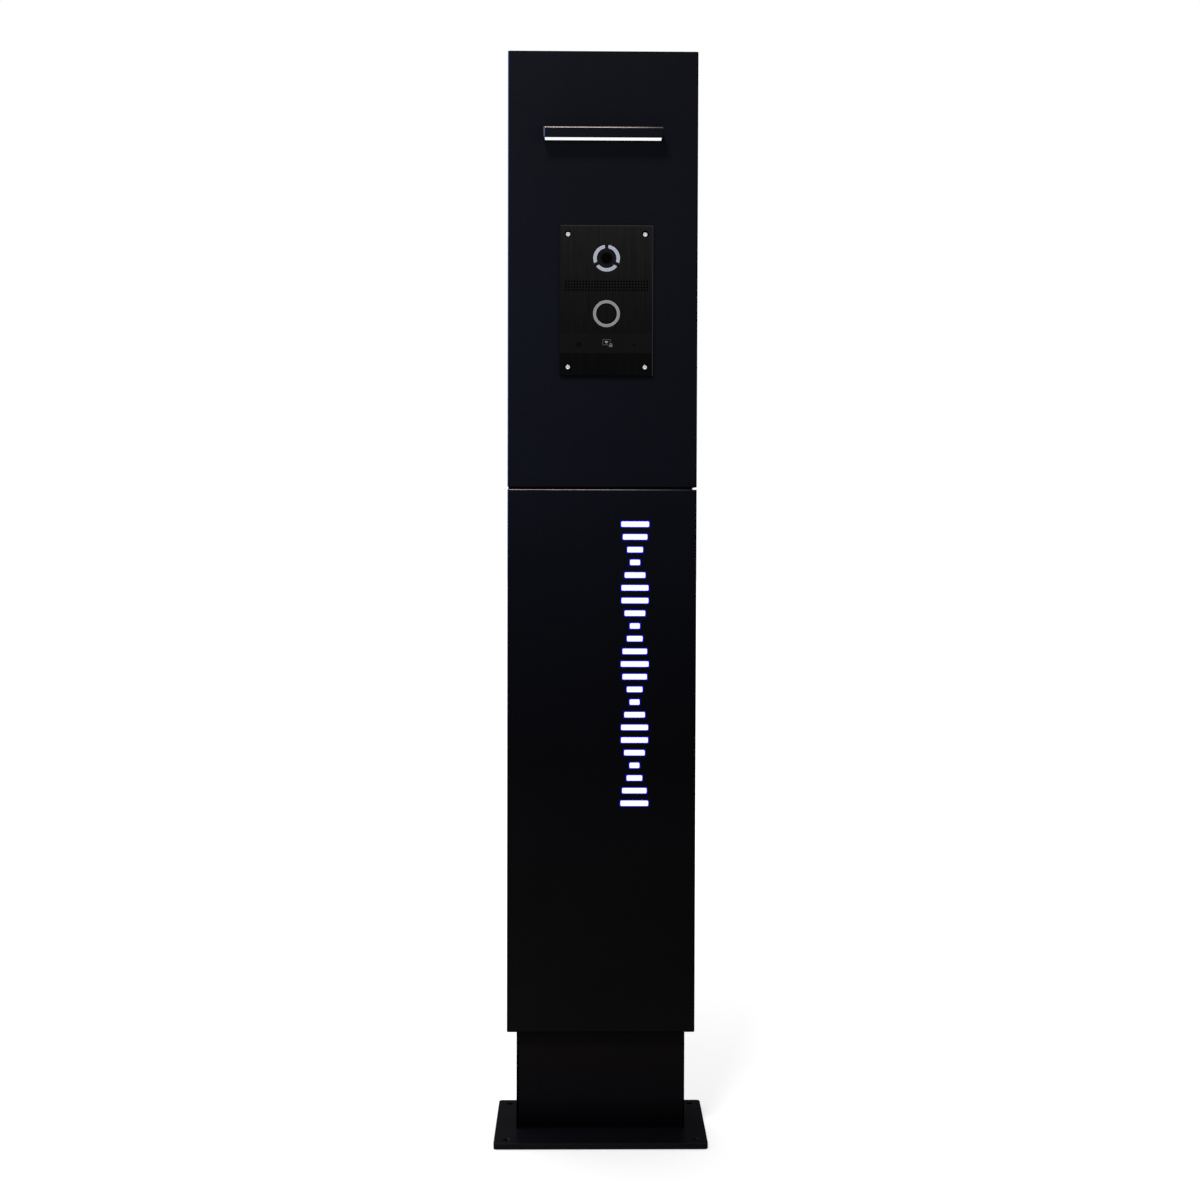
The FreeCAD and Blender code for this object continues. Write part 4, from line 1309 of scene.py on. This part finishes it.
def signDiffuser():
    s = signWork
    low, high, centre = sizeOf("sign_diffuser")
    stripLow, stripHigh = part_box("sign_led_strip")
    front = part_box("lower_housing")[0].y + s["setBack"] * mm
    height = s["slotHeight"] * mm
    pitch = (stripHigh.z - stripLow.z - height) / (s["slotCount"] - 1)
    sheet = dress(block("signSheet", low, high), "signWhite", "signBlue")
    for face in sheet.data.polygons:
        if looksForward(face):
            face.material_index = bluePlace    # it shows at the slots' corners
    pieces = [sheet]
    for i in range(s["slotCount"]):
        swell = abs(math.cos(math.pi * (i - (s["slotCount"] - 1) / 2) / s["slotsPerWave"]))
        length = (s["shortest"] + (s["longest"] - s["shortest"]) * swell) * mm
        pieces.append(signIsland(
            centre.x, stripLow.z + height / 2 + i * pitch,
            length / 2 - s["fit"] * mm, height / 2 - s["fit"] * mm, front, low.y,
        ))
    finished(joined("signDiffuser", pieces), "post", "opal_acrylic", "sign_diffuser")


signDiffuser()
print("sign made")


# Studio: white surroundings, a pale floor that takes the shadow, soft lights

studio = {
    "floorSize": 30.0,
    "floorDrop": 0.5,          # mm below the base plate
    "floorColour": 0.75,
    "glowNear": 0.42,          # what the camera sees the floor give by itself, at the post and far off
    "glowFar": 0.85,
    "nearRadius": 0.3,
    "farRadius": 2.2,
    "world": 0.45,
}

softboxes = {
    "key": {"place": (-0.4, -1.3, 2.3), "aim": (0, 0, 0.95), "size": (0.45, 0.45), "watts": 24},
    "fill": {"place": (1.8, -2.2, 1.0), "aim": (0, 0, 0.5), "size": (1.2, 1.8), "watts": 6},
    "top": {"place": (-0.4, 0.6, 2.7), "aim": (0, 0, 0.6), "size": (1.4, 1.4), "watts": 22},
}


def softbox(name, place, aim, size, watts):
    deselectAll()
    bpy.ops.object.light_add(type="AREA", location=place)
    lamp = named(name)
    lamp.data.shape = "RECTANGLE"
    lamp.data.size, lamp.data.size_y = size
    lamp.data.energy = watts
    lamp.rotation_euler = (Vector(aim) - Vector(place)).to_track_quat("-Z", "Y").to_euler()


def seenDirectly(tree):
    path = addNode(tree, "ShaderNodeLightPath", {})
    cameraOrGlossy = sums(tree, "MAXIMUM", path.outputs["Is Camera Ray"], path.outputs["Is Glossy Ray"])
    return sums(tree, "MAXIMUM", cameraOrGlossy, path.outputs["Is Transmission Ray"])


def buildStudio():
    s = studio
    deselectAll()
    bpy.ops.mesh.primitive_plane_add(size=s["floorSize"], location=(0, 0, -s["floorDrop"] * mm))
    floor = settle(named("studioFloor"))
    material, tree, shader = newFinish("studioFloor")
    away = addNode(
        tree, "ShaderNodeVectorMath", {0: objectPlace(tree, (1, 1, 0))}, operation="LENGTH"
    ).outputs["Value"]
    glow = spread(tree, away, s["glowNear"], s["glowFar"], s["nearRadius"], s["farRadius"])
    link(tree, sums(tree, "MULTIPLY", glow, seenDirectly(tree)), shader, "Emission Strength")
    plain(shader, Roughness=0.9, **{
        "Base Color": (*grey(s["floorColour"]), 1), "Emission Color": (1, 1, 1, 1),
        "Specular IOR Level": 0.0,
    })
    floor.data.materials.append(material)
    for name, settings in softboxes.items():
        softbox(name, **settings)
    world = bpy.data.worlds.new("studioWorld")
    bpy.context.scene.world = world
    world.use_nodes = True
    tree = world.node_tree
    background = tree.nodes["Background"]
    background.inputs["Color"].default_value = (1, 1, 1, 1)
    tree.links.new(spread(tree, seenDirectly(tree), s["world"], 1.0, 0, 1), background.inputs["Strength"])
    bpy.context.scene.view_settings.view_transform = "Standard"


buildStudio()
print("studio built")
